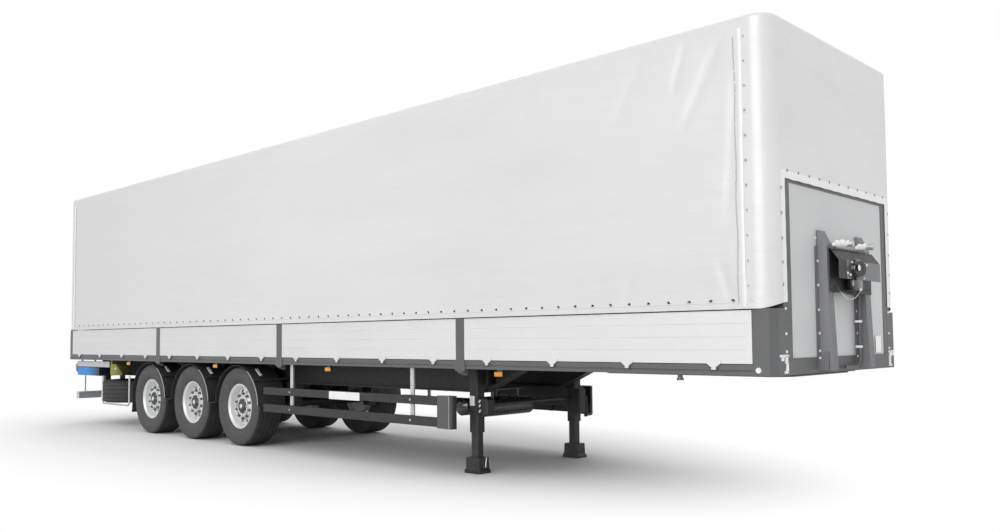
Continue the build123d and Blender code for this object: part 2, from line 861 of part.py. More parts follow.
# Axle beams, brake chambers, arms, hangers and air springs
axle_tube_radius = 63.5
axle_reach = track / 2 - drum_reach - seat_gap
arm_y = about(beam_y, 90.0)
hanger_ahead = 520.0
hanger_length = 170.0
hanger_foot_z = 470.0
hanger_wall_y = about(beam_y, 130.0)
arm_eye_z = 560.0
arm_rear = 470.0
arm_pad = 60.0
arm_top_z = axle_z + axle_tube_radius + 62.0
spring_behind = 380.0
spring_radius = 150.0
spring_waist_radius = 118.0
spring_seat_z = 610.0
chamber_radius = 82.0
chamber_length = 150.0
chamber_y = 420.0


def axle(x):
    """One axle beam with its camshaft lugs and brake chambers."""
    beam = rod((x, -axle_reach, axle_z), (x, axle_reach, axle_z), axle_tube_radius)
    for way in (1, -1):
        chamber_z = axle_z + axle_tube_radius
        start = (x + axle_tube_radius / 2, way * chamber_y, chamber_z)
        end = (x + axle_tube_radius + chamber_length, way * chamber_y, chamber_z + chamber_radius / 2)
        beam += rod(start, end, chamber_radius)
    return beam


def hanger(x):
    """One hanger bracket below the left beam, open at the rear for the arm."""
    pivot = x + hanger_ahead
    outline = [
        (pivot - hanger_length / 2, beam_bottom_z),
        (pivot + hanger_length, beam_bottom_z),
        (pivot + hanger_length / 2, hanger_foot_z),
        (pivot - hanger_length / 4, hanger_foot_z),
    ]
    bracket = along_y(outline, hanger_wall_y)
    slot = block(
        (pivot - hanger_length, pivot + hanger_length / 3),
        about(beam_y, arm_y[1] - arm_y[0] + 4 * seat_gap),
        (hanger_foot_z - overrun, arm_eye_z + hanger_length / 2),
    )
    return bracket - slot


def arm(x):
    """One trailing arm that runs over the axle to its air spring."""
    pivot = x + hanger_ahead
    outline = [
        (pivot + hanger_length / 3 - overrun, arm_eye_z - hanger_length / 4),
        (pivot + hanger_length / 3 - overrun, arm_eye_z + hanger_length / 4),
        (x + axle_tube_radius, arm_top_z),
        (x - axle_tube_radius, arm_top_z),
        (x - spring_behind + spring_waist_radius, spring_seat_z),
        (x - arm_rear, spring_seat_z),
        (x - arm_rear, spring_seat_z - arm_pad),
        (x - axle_tube_radius, axle_z),
        (x + axle_tube_radius, axle_z),
    ]
    piece = along_y(outline, arm_y)
    return piece - rod((x, 0, axle_z), (x, track, axle_z), axle_tube_radius + seat_gap)


def air_spring(x):
    """One rolling bellows between an arm and the beam."""
    height = beam_bottom_z - spring_seat_z - 2 * seat_gap
    outline_shares = ((0, 0), (0.62, 0), (0.62, 0.3), (1, 0.42), (1, 0.9), (0.86, 1), (0, 1))
    outline = [(radius * spring_radius, level * height) for radius, level in outline_shares]
    bag = revolve(Plane.XZ * Polygon(*outline, align=None), axis=Axis.Z)
    return Pos(x - spring_behind, beam_y, spring_seat_z + seat_gap) * bag


for x in axle_xs:
    add("axles", axle(x))
    for piece in (hanger(x), arm(x)):
        add("suspension_arms", piece, mirrored(piece))
    add("air_springs", air_spring(x), mirrored(air_spring(x)))


# Wheels: tyre, and a steel rim with its hub and brake drum
half_tyre = tyre_width / 2
rim_lip_radius = 306.0
rim_half = 152.0
rim_well_radius = 262.0
rim_wall = 12.0
disc_out = 92.0
disc_wall = 14.0
hub_radius = 138.0
hub_out = 112.0
cap_radius = 78.0
cap_out = 132.0
hub_taper = 0.94
cap_taper = 0.92
drum_radius = 208.0
hand_hole_count = 10
hand_hole_radius = 33.0
hand_hole_circle = 205.0


tyre_shares = (
    # share of the way from the rim's lip to the tread, share of half the width
    (0.28, 0.97),
    (0.52, 1.00),
    (0.86, 0.92),
    (0.965, 0.78),
    (1.00, 0.68),
)


def tyre_outline():
    """Half of the tyre's section, then its mirror image, as (radius, out) points."""
    wall = tyre_radius - rim_lip_radius
    half = [
        (rim_seat_radius, rim_half - 2 * rim_wall),
        (rim_lip_radius + 4 * seat_gap, rim_half + seat_gap),
    ]
    half += [(rim_lip_radius + up * wall, out * half_tyre) for up, out in tyre_shares]
    return half + [(radius, -out) for radius, out in reversed(half)]


def tyre(middle):
    """One tyre about the given middle."""
    return turned(tyre_outline(), middle)


def rim_outline():
    """The rim barrel's section as (radius, out) points."""
    seat = rim_seat_radius - seat_gap
    lip = rim_lip_radius
    return [
        (lip, rim_half),
        (seat, rim_half - rim_wall),
        (seat, rim_half - 3 * rim_wall),
        (rim_well_radius + rim_wall, rim_half - 6 * rim_wall),
        (rim_well_radius + rim_wall, -rim_half + 5 * rim_wall),
        (seat, -rim_half + 3 * rim_wall),
        (seat, -rim_half + rim_wall),
        (lip, -rim_half),
        (lip - rim_wall, -rim_half),
        (seat - rim_wall, -rim_half + 2 * rim_wall),
        (rim_well_radius, -rim_half + 5 * rim_wall),
        (rim_well_radius, rim_half - 6 * rim_wall),
        (seat - rim_wall, rim_half - 2 * rim_wall),
        (lip - rim_wall, rim_half),
    ]


def rim(middle):
    """One rim with its disc and hand holes, the hub and the brake drum, facing +Y."""
    wheel = revolve(Polygon(*rim_outline(), align=None), axis=Axis.Y)
    disc = [
        (0, disc_out),
        (hub_radius, disc_out),
        (rim_well_radius + rim_wall / 2, disc_out - 3 * rim_wall),
        (rim_well_radius + rim_wall / 2, disc_out - 3 * rim_wall - disc_wall),
        (hub_radius, disc_out - disc_wall),
        (0, disc_out - disc_wall),
    ]
    plate = revolve(Polygon(*disc, align=None), axis=Axis.Y)
    for index in range(hand_hole_count):
        turn = index * 360.0 / hand_hole_count
        hole = rod((hand_hole_circle, 0, 0), (hand_hole_circle, 2 * disc_out, 0), hand_hole_radius)
        plate -= Rot(0, turn, 0) * hole
    hub = [
        (0, -drum_reach),
        (drum_radius, -drum_reach),
        (drum_radius, disc_out - 3 * disc_wall),
        (hub_radius, disc_out - 2 * disc_wall),
        (hub_radius * hub_taper, hub_out),
        (cap_radius, hub_out),
        (cap_radius * cap_taper, cap_out),
        (0, cap_out),
    ]
    core = revolve(Polygon(*hub, align=None), axis=Axis.Y)
    return Pos(*middle) * (wheel + plate + core)


for number, x in enumerate(axle_xs, start=1):
    for side in sides:
        middle = (x, track / 2, axle_z)
        add(f"tyre_{number}_{side}", on_side(side, tyre(middle)))
        add(f"wheel_{number}_{side}", on_side(side, rim(middle)))


# Mudguards over the wheels, each on two stays, with a flap behind the last
guard_radius = tyre_radius + 26.0
guard_wall = 5.0
guard_y = (812.0, 1236.0)
guard_open = 3.0           # degrees above the axle line where the shell ends
guard_end_lip = 44.0
guard_lip = 14.0
stay_radius = 17.0
stay_angle = 40.0
flap_width = 400.0
flap_bottom_z = 300.0
flap_thickness = 8.0
flap_lap = 60.0


def mudguard(x, rear_open):
    """One half round shell on the left with its two stays, open to an angle at its rear."""
    ring = Circle(guard_radius) - Circle(guard_radius - guard_wall)
    reach = 2 * guard_radius
    for way, angle in ((1, guard_open), (-1, rear_open)):
        low = guard_radius * math.sin(math.radians(angle))
        ring -= Pos(way * reach / 2, low - reach / 2) * Rectangle(reach, reach)
    shell = Pos(x, guard_y[0], axle_z) * extrude(Plane.XZ * ring, amount=guard_y[1] - guard_y[0], dir=(0, 1, 0))
    stays = []
    for way in (1, -1):
        turn = math.radians(stay_angle)
        place_x = x + way * (guard_radius + stay_radius - guard_wall / 2) * math.cos(turn)
        place_z = axle_z + (guard_radius + stay_radius - guard_wall / 2) * math.sin(turn)
        root = beam_y + beam_web / 2
        stays.append(rod((place_x, root, place_z), (place_x, guard_y[1] - guard_lip, place_z), stay_radius))
    return shell + stays


def flap(x):
    """The flap that hangs from the rear edge of the last shell on the left."""
    edge = x - guard_radius
    lean = flap_thickness * 3
    outline = [
        (edge - flap_thickness, axle_z + flap_lap),
        (edge, axle_z + flap_lap),
        (edge, axle_z),
        (edge - lean, flap_bottom_z),
        (edge - lean - flap_thickness, flap_bottom_z),
        (edge - flap_thickness, axle_z),
    ]
    return along_y(outline, about(track / 2, flap_width))


def guard_trays():
    """The flat strips that join neighbouring shells, and the lip in front of the first."""
    low = axle_z + guard_radius * math.sin(math.radians(guard_open))
    end = guard_radius * math.cos(math.radians(guard_open)) - guard_wall
    trays = [
        block((behind + end, ahead - end), guard_y, (low - guard_wall, low))
        for ahead, behind in zip(axle_xs[:-1], axle_xs[1:])
    ]
    start = axle_xs[0] + end
    trays.append(block((start, start + guard_end_lip), guard_y, (low - guard_wall, low)))
    return trays


def mudguard_set():
    """All shells of the left side with their trays and the flap."""
    pieces = [mudguard(x, 0 if x == axle_xs[-1] else guard_open) for x in axle_xs]
    return pieces[0] + pieces[1:] + guard_trays() + [flap(axle_xs[-1])]


add("mudguards", mudguard_set(), mirrored(mudguard_set()))


# Side guards between the front wheel and the landing leg
guard_rail_y = 1215.0
guard_rail_depth = 28.0
guard_behind_gap = 103.0       # from the first mudguard's edge to the rails
guard_front_from_leg = 218.0
guard_rails_z = ((727.0, 820.0), (500.0, 600.0))
guard_cap_length = 228.0
guard_cap_rise = 14.0
guard_cap_depth = 70.0
guard_cap_radius = 46.0
guard_rear_post = 610.0        # from each end of the rails to the middle of its post
guard_front_post = 435.0
guard_post_width = 52.0
guard_post_depth = 22.0
guard_span = (axle_xs[0] + guard_radius + guard_behind_gap, leg_x - guard_front_from_leg)
guard_post_xs = (guard_span[0] + guard_rear_post, guard_span[1] - guard_front_post)


def side_guard():
    """The left side guard: two rails, a rounded end cap and two hangers from the side rail."""
    outer = guard_rail_y
    inner = guard_rail_y - guard_rail_depth
    low = guard_rails_z[1][0]
    high = guard_rails_z[0][1]
    cap_x = (guard_span[1], guard_span[1] + guard_cap_length)
    cap = block(cap_x, (outer - guard_cap_depth, outer), (low - guard_cap_rise, high + guard_cap_rise))
    corner = cap.edges().filter_by(Axis.Z).sort_by(lambda edge: edge.center().X + edge.center().Y)[-1]
    cap = fillet(corner, guard_cap_radius)
    rails = [block(guard_span, (inner, outer), z) for z in guard_rails_z]
    posts = [
        block(about(x, guard_post_width), (inner - guard_post_depth, inner), (low, rail_bottom_z))
        for x in guard_post_xs
    ]
    return cap + rails + posts


for side in sides:
    add("side_guard_" + side, on_side(side, side_guard()))


# Side marker lamps on brackets below the rail: three along their bays, one between two wheels
front_lamp_share = 0.1465017
second_lamp_share = 0.3038268
rear_lamp_share = 0.6957866
wheel_lamp_offset = 115.0
lamp_xs = (
    bay_starts[-1] + front_lamp_share * bay_length,
    bay_starts[-2] + second_lamp_share * bay_length,
    (axle_xs[0] + axle_xs[1]) / 2 + wheel_lamp_offset,
    bay_starts[0] + rear_lamp_share * bay_length,
)
lamp_length = 100.0
lamp_height = 46.0
lamp_depth = 22.0
lamp_bracket_depth = 30.0


def marker_lamp(x):
    """One lamp on its bracket under the left rail."""
    z = (rail_bottom_z - lamp_height - lamp_depth, rail_bottom_z - lamp_depth)
    lamp = block(about(x, lamp_length), (steel_y - lamp_depth, steel_y), z)
    lamp = chamfer(lamp.faces().sort_by(Axis.Y)[-1].edges(), lamp_depth / 3)
    bracket_y = (steel_y - lamp_depth - lamp_bracket_depth, steel_y - lamp_depth)
    bracket = block(about(x, lamp_height), bracket_y, (z[0], rail_bottom_z))
    return lamp + bracket


for x in lamp_xs:
    lamp = marker_lamp(x)
    add("marker_lamps", lamp, mirrored(lamp))


# Air tanks across the chassis behind the legs
tank_radius = 100.0
tank_end_radius = 60.0
tank_length = 860.0
tank_dome = 40.0
tank_from_leg = 360.0
tank_pitch = 330.0
tank_below_beam = 105.0
tank_z = beam_bottom_z - tank_below_beam - tank_radius
tank_strap = 22.0


def air_tank(x):
    """One tank with domed ends and two straps up to the cross bars."""
    half = tank_length / 2
    outline = [
        (0, half),
        (tank_end_radius, half - tank_dome / 4),
        (tank_radius, half - tank_dome),
        (tank_radius, -half + tank_dome),
        (tank_end_radius, -half + tank_dome / 4),
        (0, -half),
    ]
    tank = Pos(x, 0, tank_z) * revolve(Polygon(*outline, align=None), axis=Axis.Y)
    bar_z = (tank_z + tank_radius - overrun, beam_bottom_z)
    for way in (1, -1):
        y = way * tank_length / 4
        tank += block(about(x, tank_strap), about(y, tank_strap), bar_z)
    bar = block(about(x, 2 * tank_strap), (-beam_y, beam_y), (beam_bottom_z - tank_strap / 3, beam_bottom_z))
    return tank + bar


for index in range(2):
    add("air_tanks", air_tank(leg_x - tank_from_leg - index * tank_pitch))


# Spare wheel lying flat in a carrier below the rear of the right beam
spare_from_rear = 1300.0
spare_x = rear_x + spare_from_rear
spare_y = -620.0
spare_low_z = 395.0
spare_gap = 8.0
carrier_bar = 26.0
carrier_width = 90.0
spare_z = spare_low_z + half_tyre


def lying(piece):
    """A wheel drawn on its axle, laid flat at the spare's place."""
    return Pos(spare_x, spare_y, spare_z) * Rot(90, 0, 0) * piece


def spare_carrier():
    """Two uprights and a cross bar under the spare wheel."""
    reach = tyre_radius + spare_gap
    low = spare_low_z - seat_gap - carrier_bar
    frame = block(
        (spare_x - reach - carrier_bar, spare_x + reach + carrier_bar),
        about(spare_y, carrier_width),
        (low, low + carrier_bar),
    )
    for way in (1, -1):
        start = spare_x + way * reach
        span = tuple(sorted((start, start + way * carrier_bar)))
        frame += block(span, about(spare_y, carrier_width), (low, beam_bottom_z))
    return frame


add("spare_tyre", lying(tyre((0, 0, 0))))
add("spare_rim", lying(revolve(Polygon(*rim_outline(), align=None), axis=Axis.Y)))
add("spare_carrier", spare_carrier())


# Stowage box and wheel chocks under the rear of the right rail
stow_from_rear = (230.0, 1130.0)
stow_x = (rear_x + stow_from_rear[0], rear_x + stow_from_rear[1])
stow_y = (830.0, 1200.0)
stow_z = (850.0, 1000.0)
stow_strap = 40.0
stow_strap_shares = (0.2, 0.8)
chock_from_rear = (1560.0, 2030.0)
chock_x = (rear_x + chock_from_rear[0], rear_x + chock_from_rear[1])
chock_toe = 30.0
chock_slope_share = 0.45
chock_y = (1030.0, 1190.0)
chock_z = (880.0, 1060.0)


def stowage_box():
    """A flat box hung from the outriggers, with two straps."""
    box = mirrored(block(stow_x, stow_y, stow_z))
    box = chamfer(box.edges().filter_by(Axis.X), stow_strap / 4)
    for share in stow_strap_shares:
        x = stow_x[0] + share * (stow_x[1] - stow_x[0])
        strap_y = (rail_inner_y, stow_y[1])
        box += mirrored(block(about(x, stow_strap), strap_y, (stow_z[1] - overrun, rail_bottom_z)))
    return box


def chock():
    """A wedge shaped wheel chock in its holder."""
    low, high = chock_x
    outline = [
        (low, chock_z[0]),
        (high, chock_z[0]),
        (high, chock_z[0] + chock_toe),
        (low + chock_slope_share * (high - low), chock_z[1]),
        (low, chock_z[1]),
    ]
    wedge = along_y(outline, chock_y)
    strap_z = (chock_z[1] - overrun, rail_bottom_z)
    strap = block(about(low + stow_strap, stow_strap), (rail_inner_y, chock_y[1]), strap_z)
    return mirrored(wedge + strap)


add("stowage_box", stowage_box())
add("wheel_chock", chock())


# Rear underrun bar, its hangers and the lamp board
underrun_z = (430.0, 550.0)
underrun_from_rear = 130.0
underrun_depth = 100.0
underrun_x = (rear_x + underrun_from_rear, rear_x + underrun_from_rear + underrun_depth)
underrun_half = 1175.0
underrun_hanger = 90.0
board_z = (900.0, 1060.0)
board_from_rear = 60.0
board_depth = 25.0
board_x = (rear_x + board_from_rear, rear_x + board_from_rear + board_depth)
board_half = 1150.0
lamp_box = (330.0, 120.0, 55.0)


def underrun():
    """The bar and its two hangers from the beams."""
    bar = block(underrun_x, (-underrun_half, underrun_half), underrun_z)
    bar = chamfer(bar.edges().filter_by(Axis.Y), underrun_hanger / 9)
    for way in (1, -1):
        bar += block(underrun_x, about(way * beam_y, underrun_hanger), (underrun_z[1] - overrun, beam_bottom_z))
    return bar


def lamp_board():
    """The board that carries the tail lamps, hung from the sill."""
    board = block(board_x, (-board_half, board_half), board_z)
    for way in (1, -1):
        board += block(board_x, about(way * beam_y, underrun_hanger), (board_z[1] - overrun, rail_bottom_z))
    return board


def tail_lamp():
    """One tail lamp cluster on the left of the board."""
    length, height, depth = lamp_box
    z = about((board_z[0] + board_z[1]) / 2, height)
    lamp = block((board_x[0] - depth, board_x[0]), (board_half - length, board_half), z)
    return chamfer(lamp.faces().sort_by(Axis.X)[0].edges(), depth / 4)


add("rear_underrun", underrun())
add("lamp_board", lamp_board())
add("tail_lamps", tail_lamp(), mirrored(tail_lamp()))


# Write one file for each node
os.makedirs("parts", exist_ok=True)
for name, solids in nodes.items():
    shape = solids[0] if len(solids) == 1 else Compound(solids)
    export_step(shape, f"parts/{name}.step")
print(len(nodes), "nodes")
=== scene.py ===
import bpy
import bmesh
import json
import math
from mathutils import Matrix, Vector, noise


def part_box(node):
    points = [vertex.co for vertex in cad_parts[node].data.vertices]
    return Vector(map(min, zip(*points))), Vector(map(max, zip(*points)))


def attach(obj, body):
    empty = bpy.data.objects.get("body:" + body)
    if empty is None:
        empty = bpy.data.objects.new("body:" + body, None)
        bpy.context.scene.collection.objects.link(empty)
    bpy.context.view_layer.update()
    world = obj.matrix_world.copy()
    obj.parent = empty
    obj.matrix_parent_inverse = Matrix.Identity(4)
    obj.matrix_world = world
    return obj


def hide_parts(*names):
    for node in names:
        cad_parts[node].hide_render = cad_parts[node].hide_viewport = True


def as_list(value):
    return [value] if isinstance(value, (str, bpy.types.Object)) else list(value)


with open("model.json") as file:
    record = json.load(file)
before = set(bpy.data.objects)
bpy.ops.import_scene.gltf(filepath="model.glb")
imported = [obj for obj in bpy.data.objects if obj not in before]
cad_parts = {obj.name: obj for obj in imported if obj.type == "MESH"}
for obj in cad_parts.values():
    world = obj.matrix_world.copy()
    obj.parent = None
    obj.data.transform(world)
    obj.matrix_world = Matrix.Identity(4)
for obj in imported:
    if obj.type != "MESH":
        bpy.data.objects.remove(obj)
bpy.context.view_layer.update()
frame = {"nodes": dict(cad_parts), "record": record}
nodes = frame["nodes"]
print("frame loaded:", len(nodes), "nodes")

# Metres. +X towards the front, +Y to the trailer's left, +Z up.
body = dict(rear=-6.9125, front=6.6875, half=1.275, frontCorner=0.170, rearCorner=0.120)
sides = {"left": 1, "right": -1}
axles = dict(xs=(-1.2425, -2.5525, -3.8625), z=0.536)

view = dict(place=(9.8968, -7.7327, 1.4346), yaw=2.3281, pitch=0.0529, roll=-0.0088, lens=32.39, rise=0.0247)


def placed(name, data):
    item = bpy.data.objects.new(name, data)
    bpy.context.scene.collection.objects.link(item)
    return item


def placeCamera():
    data = bpy.data.cameras.new("photoCamera")
    data.lens = view["lens"]
    data.sensor_width = 36.0
    data.sensor_fit = "HORIZONTAL"
    data.shift_y = view["rise"]
    data.clip_end = 300.0
    camera = placed("photoCamera", data)
    yaw, pitch, roll = view["yaw"], view["pitch"], view["roll"]
    ahead = Vector((math.cos(pitch) * math.cos(yaw), math.cos(pitch) * math.sin(yaw), math.sin(pitch)))
    right = Vector((math.sin(yaw), -math.cos(yaw), 0.0))
    above = right.cross(ahead)
    level = right * math.cos(roll) + above * math.sin(roll)
    upright = above * math.cos(roll) - right * math.sin(roll)
    turn = Matrix((level, upright, -ahead)).transposed().to_4x4()
    camera.matrix_world = Matrix.Translation(view["place"]) @ turn
    bpy.context.scene.camera = camera


placeCamera()
bpy.context.scene.view_settings.view_transform = "Standard"


# Colours are written as they look on screen, in hex.
def linear(level):
    return level / 12.92 if level <= 0.04045 else ((level + 0.055) / 1.055) ** 2.4


def colour(code, gain=1.0):
    return tuple(linear(int(code[at:at + 2], 16) / 255) * gain for at in (0, 2, 4)) + (1.0,)


def newMaterial(name, rough=0.5, metal=0.0, **sockets):
    material = bpy.data.materials.new(name)
    material.use_nodes = True
    shader = material.node_tree.nodes["Principled BSDF"]
    for socket, value in {"Roughness": rough, "Metallic": metal, **sockets}.items():
        shader.inputs[socket.replace("_", " ")].default_value = value
    return material, material.node_tree, shader


# Links a socket to another one, or sets it when the value is a plain number or colour
def feed(tree, socket, value):
    if isinstance(value, (int, float, tuple)):
        socket.default_value = value
    else:
        tree.links.new(value, socket)


def newNode(tree, kind, **inputs):
    node = tree.nodes.new("ShaderNode" + kind)
    for name, value in inputs.items():
        feed(tree, node.inputs[name.replace("_", " ")], value)
    return node


def coordinates(tree, stretch=(1, 1, 1), shift=(0, 0, 0), turn=0.0):
    place = newNode(tree, "TexCoord").outputs["Object"]
    return newNode(tree, "Mapping", Scale=stretch, Location=shift, Rotation=(0, 0, turn), Vector=place).outputs[0]


def position(tree, axis):
    return newNode(tree, "SeparateXYZ", Vector=newNode(tree, "TexCoord").outputs["Object"]).outputs[axis]


def cloudy(tree, scale, detail=3.0, stretch=(1, 1, 1), shift=(0, 0, 0)):
    place = coordinates(tree, stretch, shift)
    return newNode(tree, "TexNoise", Scale=scale, Detail=detail, Vector=place).outputs["Fac"]


def ranged(tree, value, fromLow=0.3, fromHigh=0.7, low=0.0, high=1.0):
    return newNode(tree, "MapRange", Value=value, From_Min=fromLow, From_Max=fromHigh, To_Min=low,
                   To_Max=high).outputs["Result"]


def reckoned(tree, operation, *values):
    node = newNode(tree, "Math")
    node.operation = operation
    for socket, value in zip(node.inputs, values):
        feed(tree, socket, value)
    return node.outputs[0]


def mixed(tree, share, first, second):
    node = newNode(tree, "Mix")
    node.data_type = "RGBA"
    for socket, value in ((0, share), (6, first), (7, second)):
        feed(tree, node.inputs[socket], value)
    return node.outputs[2]


def shaded(tree, share, code, low, high):
    return mixed(tree, share, colour(code, low), colour(code, high))


def raised(tree, shader, height, strength, distance):
    bump = newNode(tree, "Bump", Strength=strength, Distance=distance, Height=height)
    earlier = shader.inputs["Normal"].links
    if earlier:
        feed(tree, bump.inputs["Normal"], earlier[0].from_socket)
    feed(tree, shader.inputs["Normal"], bump.outputs["Normal"])


def dress(tree, shader, base, rough):
    feed(tree, shader.inputs["Base Color"], base)
    feed(tree, shader.inputs["Roughness"], rough)


# Painted steel: a slight drift of tone, road dust low down and the fine ripple of sprayed paint.
def paintFinish(name, code, rough=0.42, dust=0.18, dustTop=1.1, drift=0.10, coat=0.0, metal=0.0):
    material, tree, shader = newMaterial(name, rough, metal, Coat_Weight=coat)
    tone = shaded(tree, ranged(tree, cloudy(tree, 1.7)), code, 1 - drift, 1 + drift)
    film = reckoned(tree, "MULTIPLY", ranged(tree, position(tree, "Z"), 0.15, dustTop, 1.0, 0.0),
                    ranged(tree, cloudy(tree, 9.0, 5.0), 0.35, 0.75, 0.0, dust))
    dress(tree, shader, mixed(tree, film, tone, colour("A9A59D")),
          ranged(tree, cloudy(tree, 34.0, 4.0), low=rough - 0.06, high=rough + 0.10))
    raised(tree, shader, cloudy(tree, 420.0, 1.0), 0.06, 0.0006)
    return material


# Hot dip galvanising: crystal flakes a centimetre or so across.
def galvanisedFinish(name, code, rough=0.40):
    material, tree, shader = newMaterial(name, rough, 0.55)
    flakes = newNode(tree, "TexVoronoi", Scale=85.0, Vector=coordinates(tree))
    grey = newNode(tree, "SeparateColor", Color=flakes.outputs["Color"]).outputs[0]
    base = shaded(tree, ranged(tree, grey, 0.0, 1.0), code, 0.82, 1.12)
    dress(tree, shader, mixed(tree, ranged(tree, cloudy(tree, 2.5), 0.45, 0.8, 0.0, 0.3), base, colour("8C8F90")),
          ranged(tree, grey, 0.0, 1.0, rough - 0.08, rough + 0.12))
    raised(tree, shader, cloudy(tree, 160.0, 2.0), 0.08, 0.0005)
    return material


# Extruded boards with a fine drawn grain along their length.
def boardFinish(name, code):
    material, tree, shader = newMaterial(name, 0.40, 0.10, Coat_Weight=0.1)
    grain = cloudy(tree, 40.0, 2.0, stretch=(0.02, 1, 5))
    tone = shaded(tree, ranged(tree, grain), code, 0.99, 1.01)
    dull = ranged(tree, cloudy(tree, 1.3, 3.0), 0.35, 0.7, 0.0, 0.12)
    dress(tree, shader, mixed(tree, dull, tone, colour("BFC0C0")),
          ranged(tree, cloudy(tree, 18.0, 3.0), low=0.34, high=0.48))
    raised(tree, shader, grain, 0.05, 0.0003)
    return material


# Coated polyester: a fine basket weave under the coating, soft creases and slight greying.
def clothFinish(name, code, rough=0.46):
    material, tree, shader = newMaterial(name, rough, 0.0, Sheen_Weight=0.05, Coat_Weight=0.40, Coat_Roughness=0.34)
    dress(tree, shader,
          shaded(tree, ranged(tree, cloudy(tree, 0.8, 4.0, stretch=(0.5, 1, 1.6)), 0.35, 0.65), code, 0.965, 1.015),
          ranged(tree, cloudy(tree, 7.0, 3.0), low=rough - 0.05, high=rough + 0.08))
    weave = []
    for direction, turn in (("X", 0.785), ("Z", 0.0)):
        wave = newNode(tree, "TexWave", Scale=160.0, Distortion=0.4, Vector=coordinates(tree, turn=turn))
        wave.bands_direction = direction
        weave.append(wave.outputs["Fac"])
    raised(tree, shader, reckoned(tree, "ADD", *weave), 0.05, 0.0003)
    raised(tree, shader, cloudy(tree, 2.6, 6.0, stretch=(0.7, 1, 1.4)), 0.62, 0.016)
    raised(tree, shader, cloudy(tree, 5.0, 2.0, stretch=(0.16, 0.16, 2.0), shift=(3, 1, 2)), 0.50, 0.016)
    return material


# Planed or laid timber with its grain along the trailer.
def timberFinish(name, light, dark, rough=0.62):
    material, tree, shader = newMaterial(name, rough)
    grain = cloudy(tree, 14.0, 6.0, stretch=(0.12, 3, 3))
    dress(tree, shader, mixed(tree, ranged(tree, grain, 0.35, 0.65), colour(dark), colour(light)),
          ranged(tree, grain, low=rough + 0.08, high=rough - 0.08))
    raised(tree, shader, grain, 0.20, 0.002)
    return material


# Rubber: greyed with dust in patches, matt.
def rubberFinish(name, code, dusty, rough=0.78, dust=0.5):
    material, tree, shader = newMaterial(name, rough)
    patch = reckoned(tree, "MULTIPLY", ranged(tree, cloudy(tree, 6.0, 5.0), 0.35, 0.7), dust)
    dress(tree, shader, mixed(tree, patch, colour(code), colour(dusty)),
          ranged(tree, cloudy(tree, 40.0, 3.0), low=rough - 0.08, high=rough + 0.10))
    raised(tree, shader, cloudy(tree, 300.0, 2.0), 0.12, 0.0008)
    return material


# Moulded plastic with a fine sand grain, glossy for the lenses.
def plasticFinish(name, code, rough=0.5, grain=500.0, coat=0.0):
    material, tree, shader = newMaterial(name, rough, 0.0, Coat_Weight=coat)
    dress(tree, shader, shaded(tree, ranged(tree, cloudy(tree, 3.0)), code, 0.92, 1.08),
          ranged(tree, cloudy(tree, 25.0), low=rough - 0.05, high=rough + 0.08))
    raised(tree, shader, cloudy(tree, grain, 1.0), 0.12, 0.0005)
    return material


finishes = dict(
    chassis_paint=paintFinish("chassisPaint", "151617", 0.52, 0.05),
    guard_paint=paintFinish("guardPaint", "1A1B1D", 0.52, 0.05),
    frame_paint=paintFinish("framePaint", "5B5C5D", 0.44, 0.05),
    panel_aluminium=boardFinish("boardAluminium", "E1E1E2"),
    wall_paint=paintFinish("wallPaint", "CBCCCD", 0.45, 0.04, drift=0.03),
    cover_cloth=clothFinish("coverCloth", "DEDEDF"),
    floor_wood=timberFinish("floorPly", "6B4A33", "3E2A1D"),
    lath_wood=timberFinish("lathTimber", "C9A878", "A3804F"),
    tyre_rubber=rubberFinish("tyreRubber", "262626", "3A3A39"),
    rim_paint=paintFinish("rimSilver", "DADBDC", 0.36, 0.10, 1.0, 0.04, 0.2, 0.2),
    galvanised=galvanisedFinish("galvanised", "C4C6C8"),
    rubber=rubberFinish("mouldedRubber", "262627", "4A4946", 0.62, 0.3),
    amber_lens=plasticFinish("amberLens", "DE941C", 0.16, 180.0, 0.8),
    red_lens=plasticFinish("redLens", "B4121A", 0.16, 180.0, 0.8),
    blue_plastic=plasticFinish("bluePlastic", "1E84CE", 0.48),
    chock_plastic=plasticFinish("chockPlastic", "86881C", 0.5),
    tank_paint=paintFinish("tankPaint", "303133", 0.28, 0.16, 1.0, 0.08, 0.4),
    black_plastic=plasticFinish("blackPlastic", "2E2F31", 0.58, 260.0),
    steel=paintFinish("greasedSteel", "6A6A6A", 0.34, 0.10, 1.2, 0.25, 0.0, 0.8),
)
extraFinishes = dict(
    silver=paintFinish("silverTrim", "D4D6D8", 0.32, 0.05, 1.0, 0.05, 0.1, 0.35),
    dark=paintFinish("darkTrim", "2A2B2D", 0.48, 0.12),
    white=plasticFinish("whitePlastic", "EDEDEC", 0.4),
    webbing=clothFinish("webbing", "F0F0F0", 0.7),
    stitch=rubberFinish("stitchThread", "A8A8A8", "C0C0C0", 0.8, 0.3),
    plate=plasticFinish("blankPlate", "F2F2F2", 0.3, 90.0, 0.3),
    pale=paintFinish("palePaint", "B9BABB", 0.42, 0.04, drift=0.03),
    capGrey=paintFinish("capGrey", "515254", 0.42, 0.05, drift=0.05),
    consoleGrey=paintFinish("consoleGrey", "252628", 0.50, 0.03, drift=0.05),
    braceGrey=paintFinish("braceGrey", "6C6D6F", 0.42, 0.04, drift=0.05),
    panelDark=paintFinish("panelDark", "3E4449", 0.30, 0.03, drift=0.05, coat=0.4),
    black=plasticFinish("glossBlack", "101113", 0.22, 200.0, 0.4),
    hose=rubberFinish("hoseRubber", "161617", "2A2A2B", 0.5, 0.2),
    sidewall=rubberFinish("sidewallRubber", "414141", "4C4C4B"),
    nutSteel=paintFinish("nutSteel", "77797B", 0.30, 0.10, metal=0.6),
)
everyFinish = {**finishes, **extraFinishes}


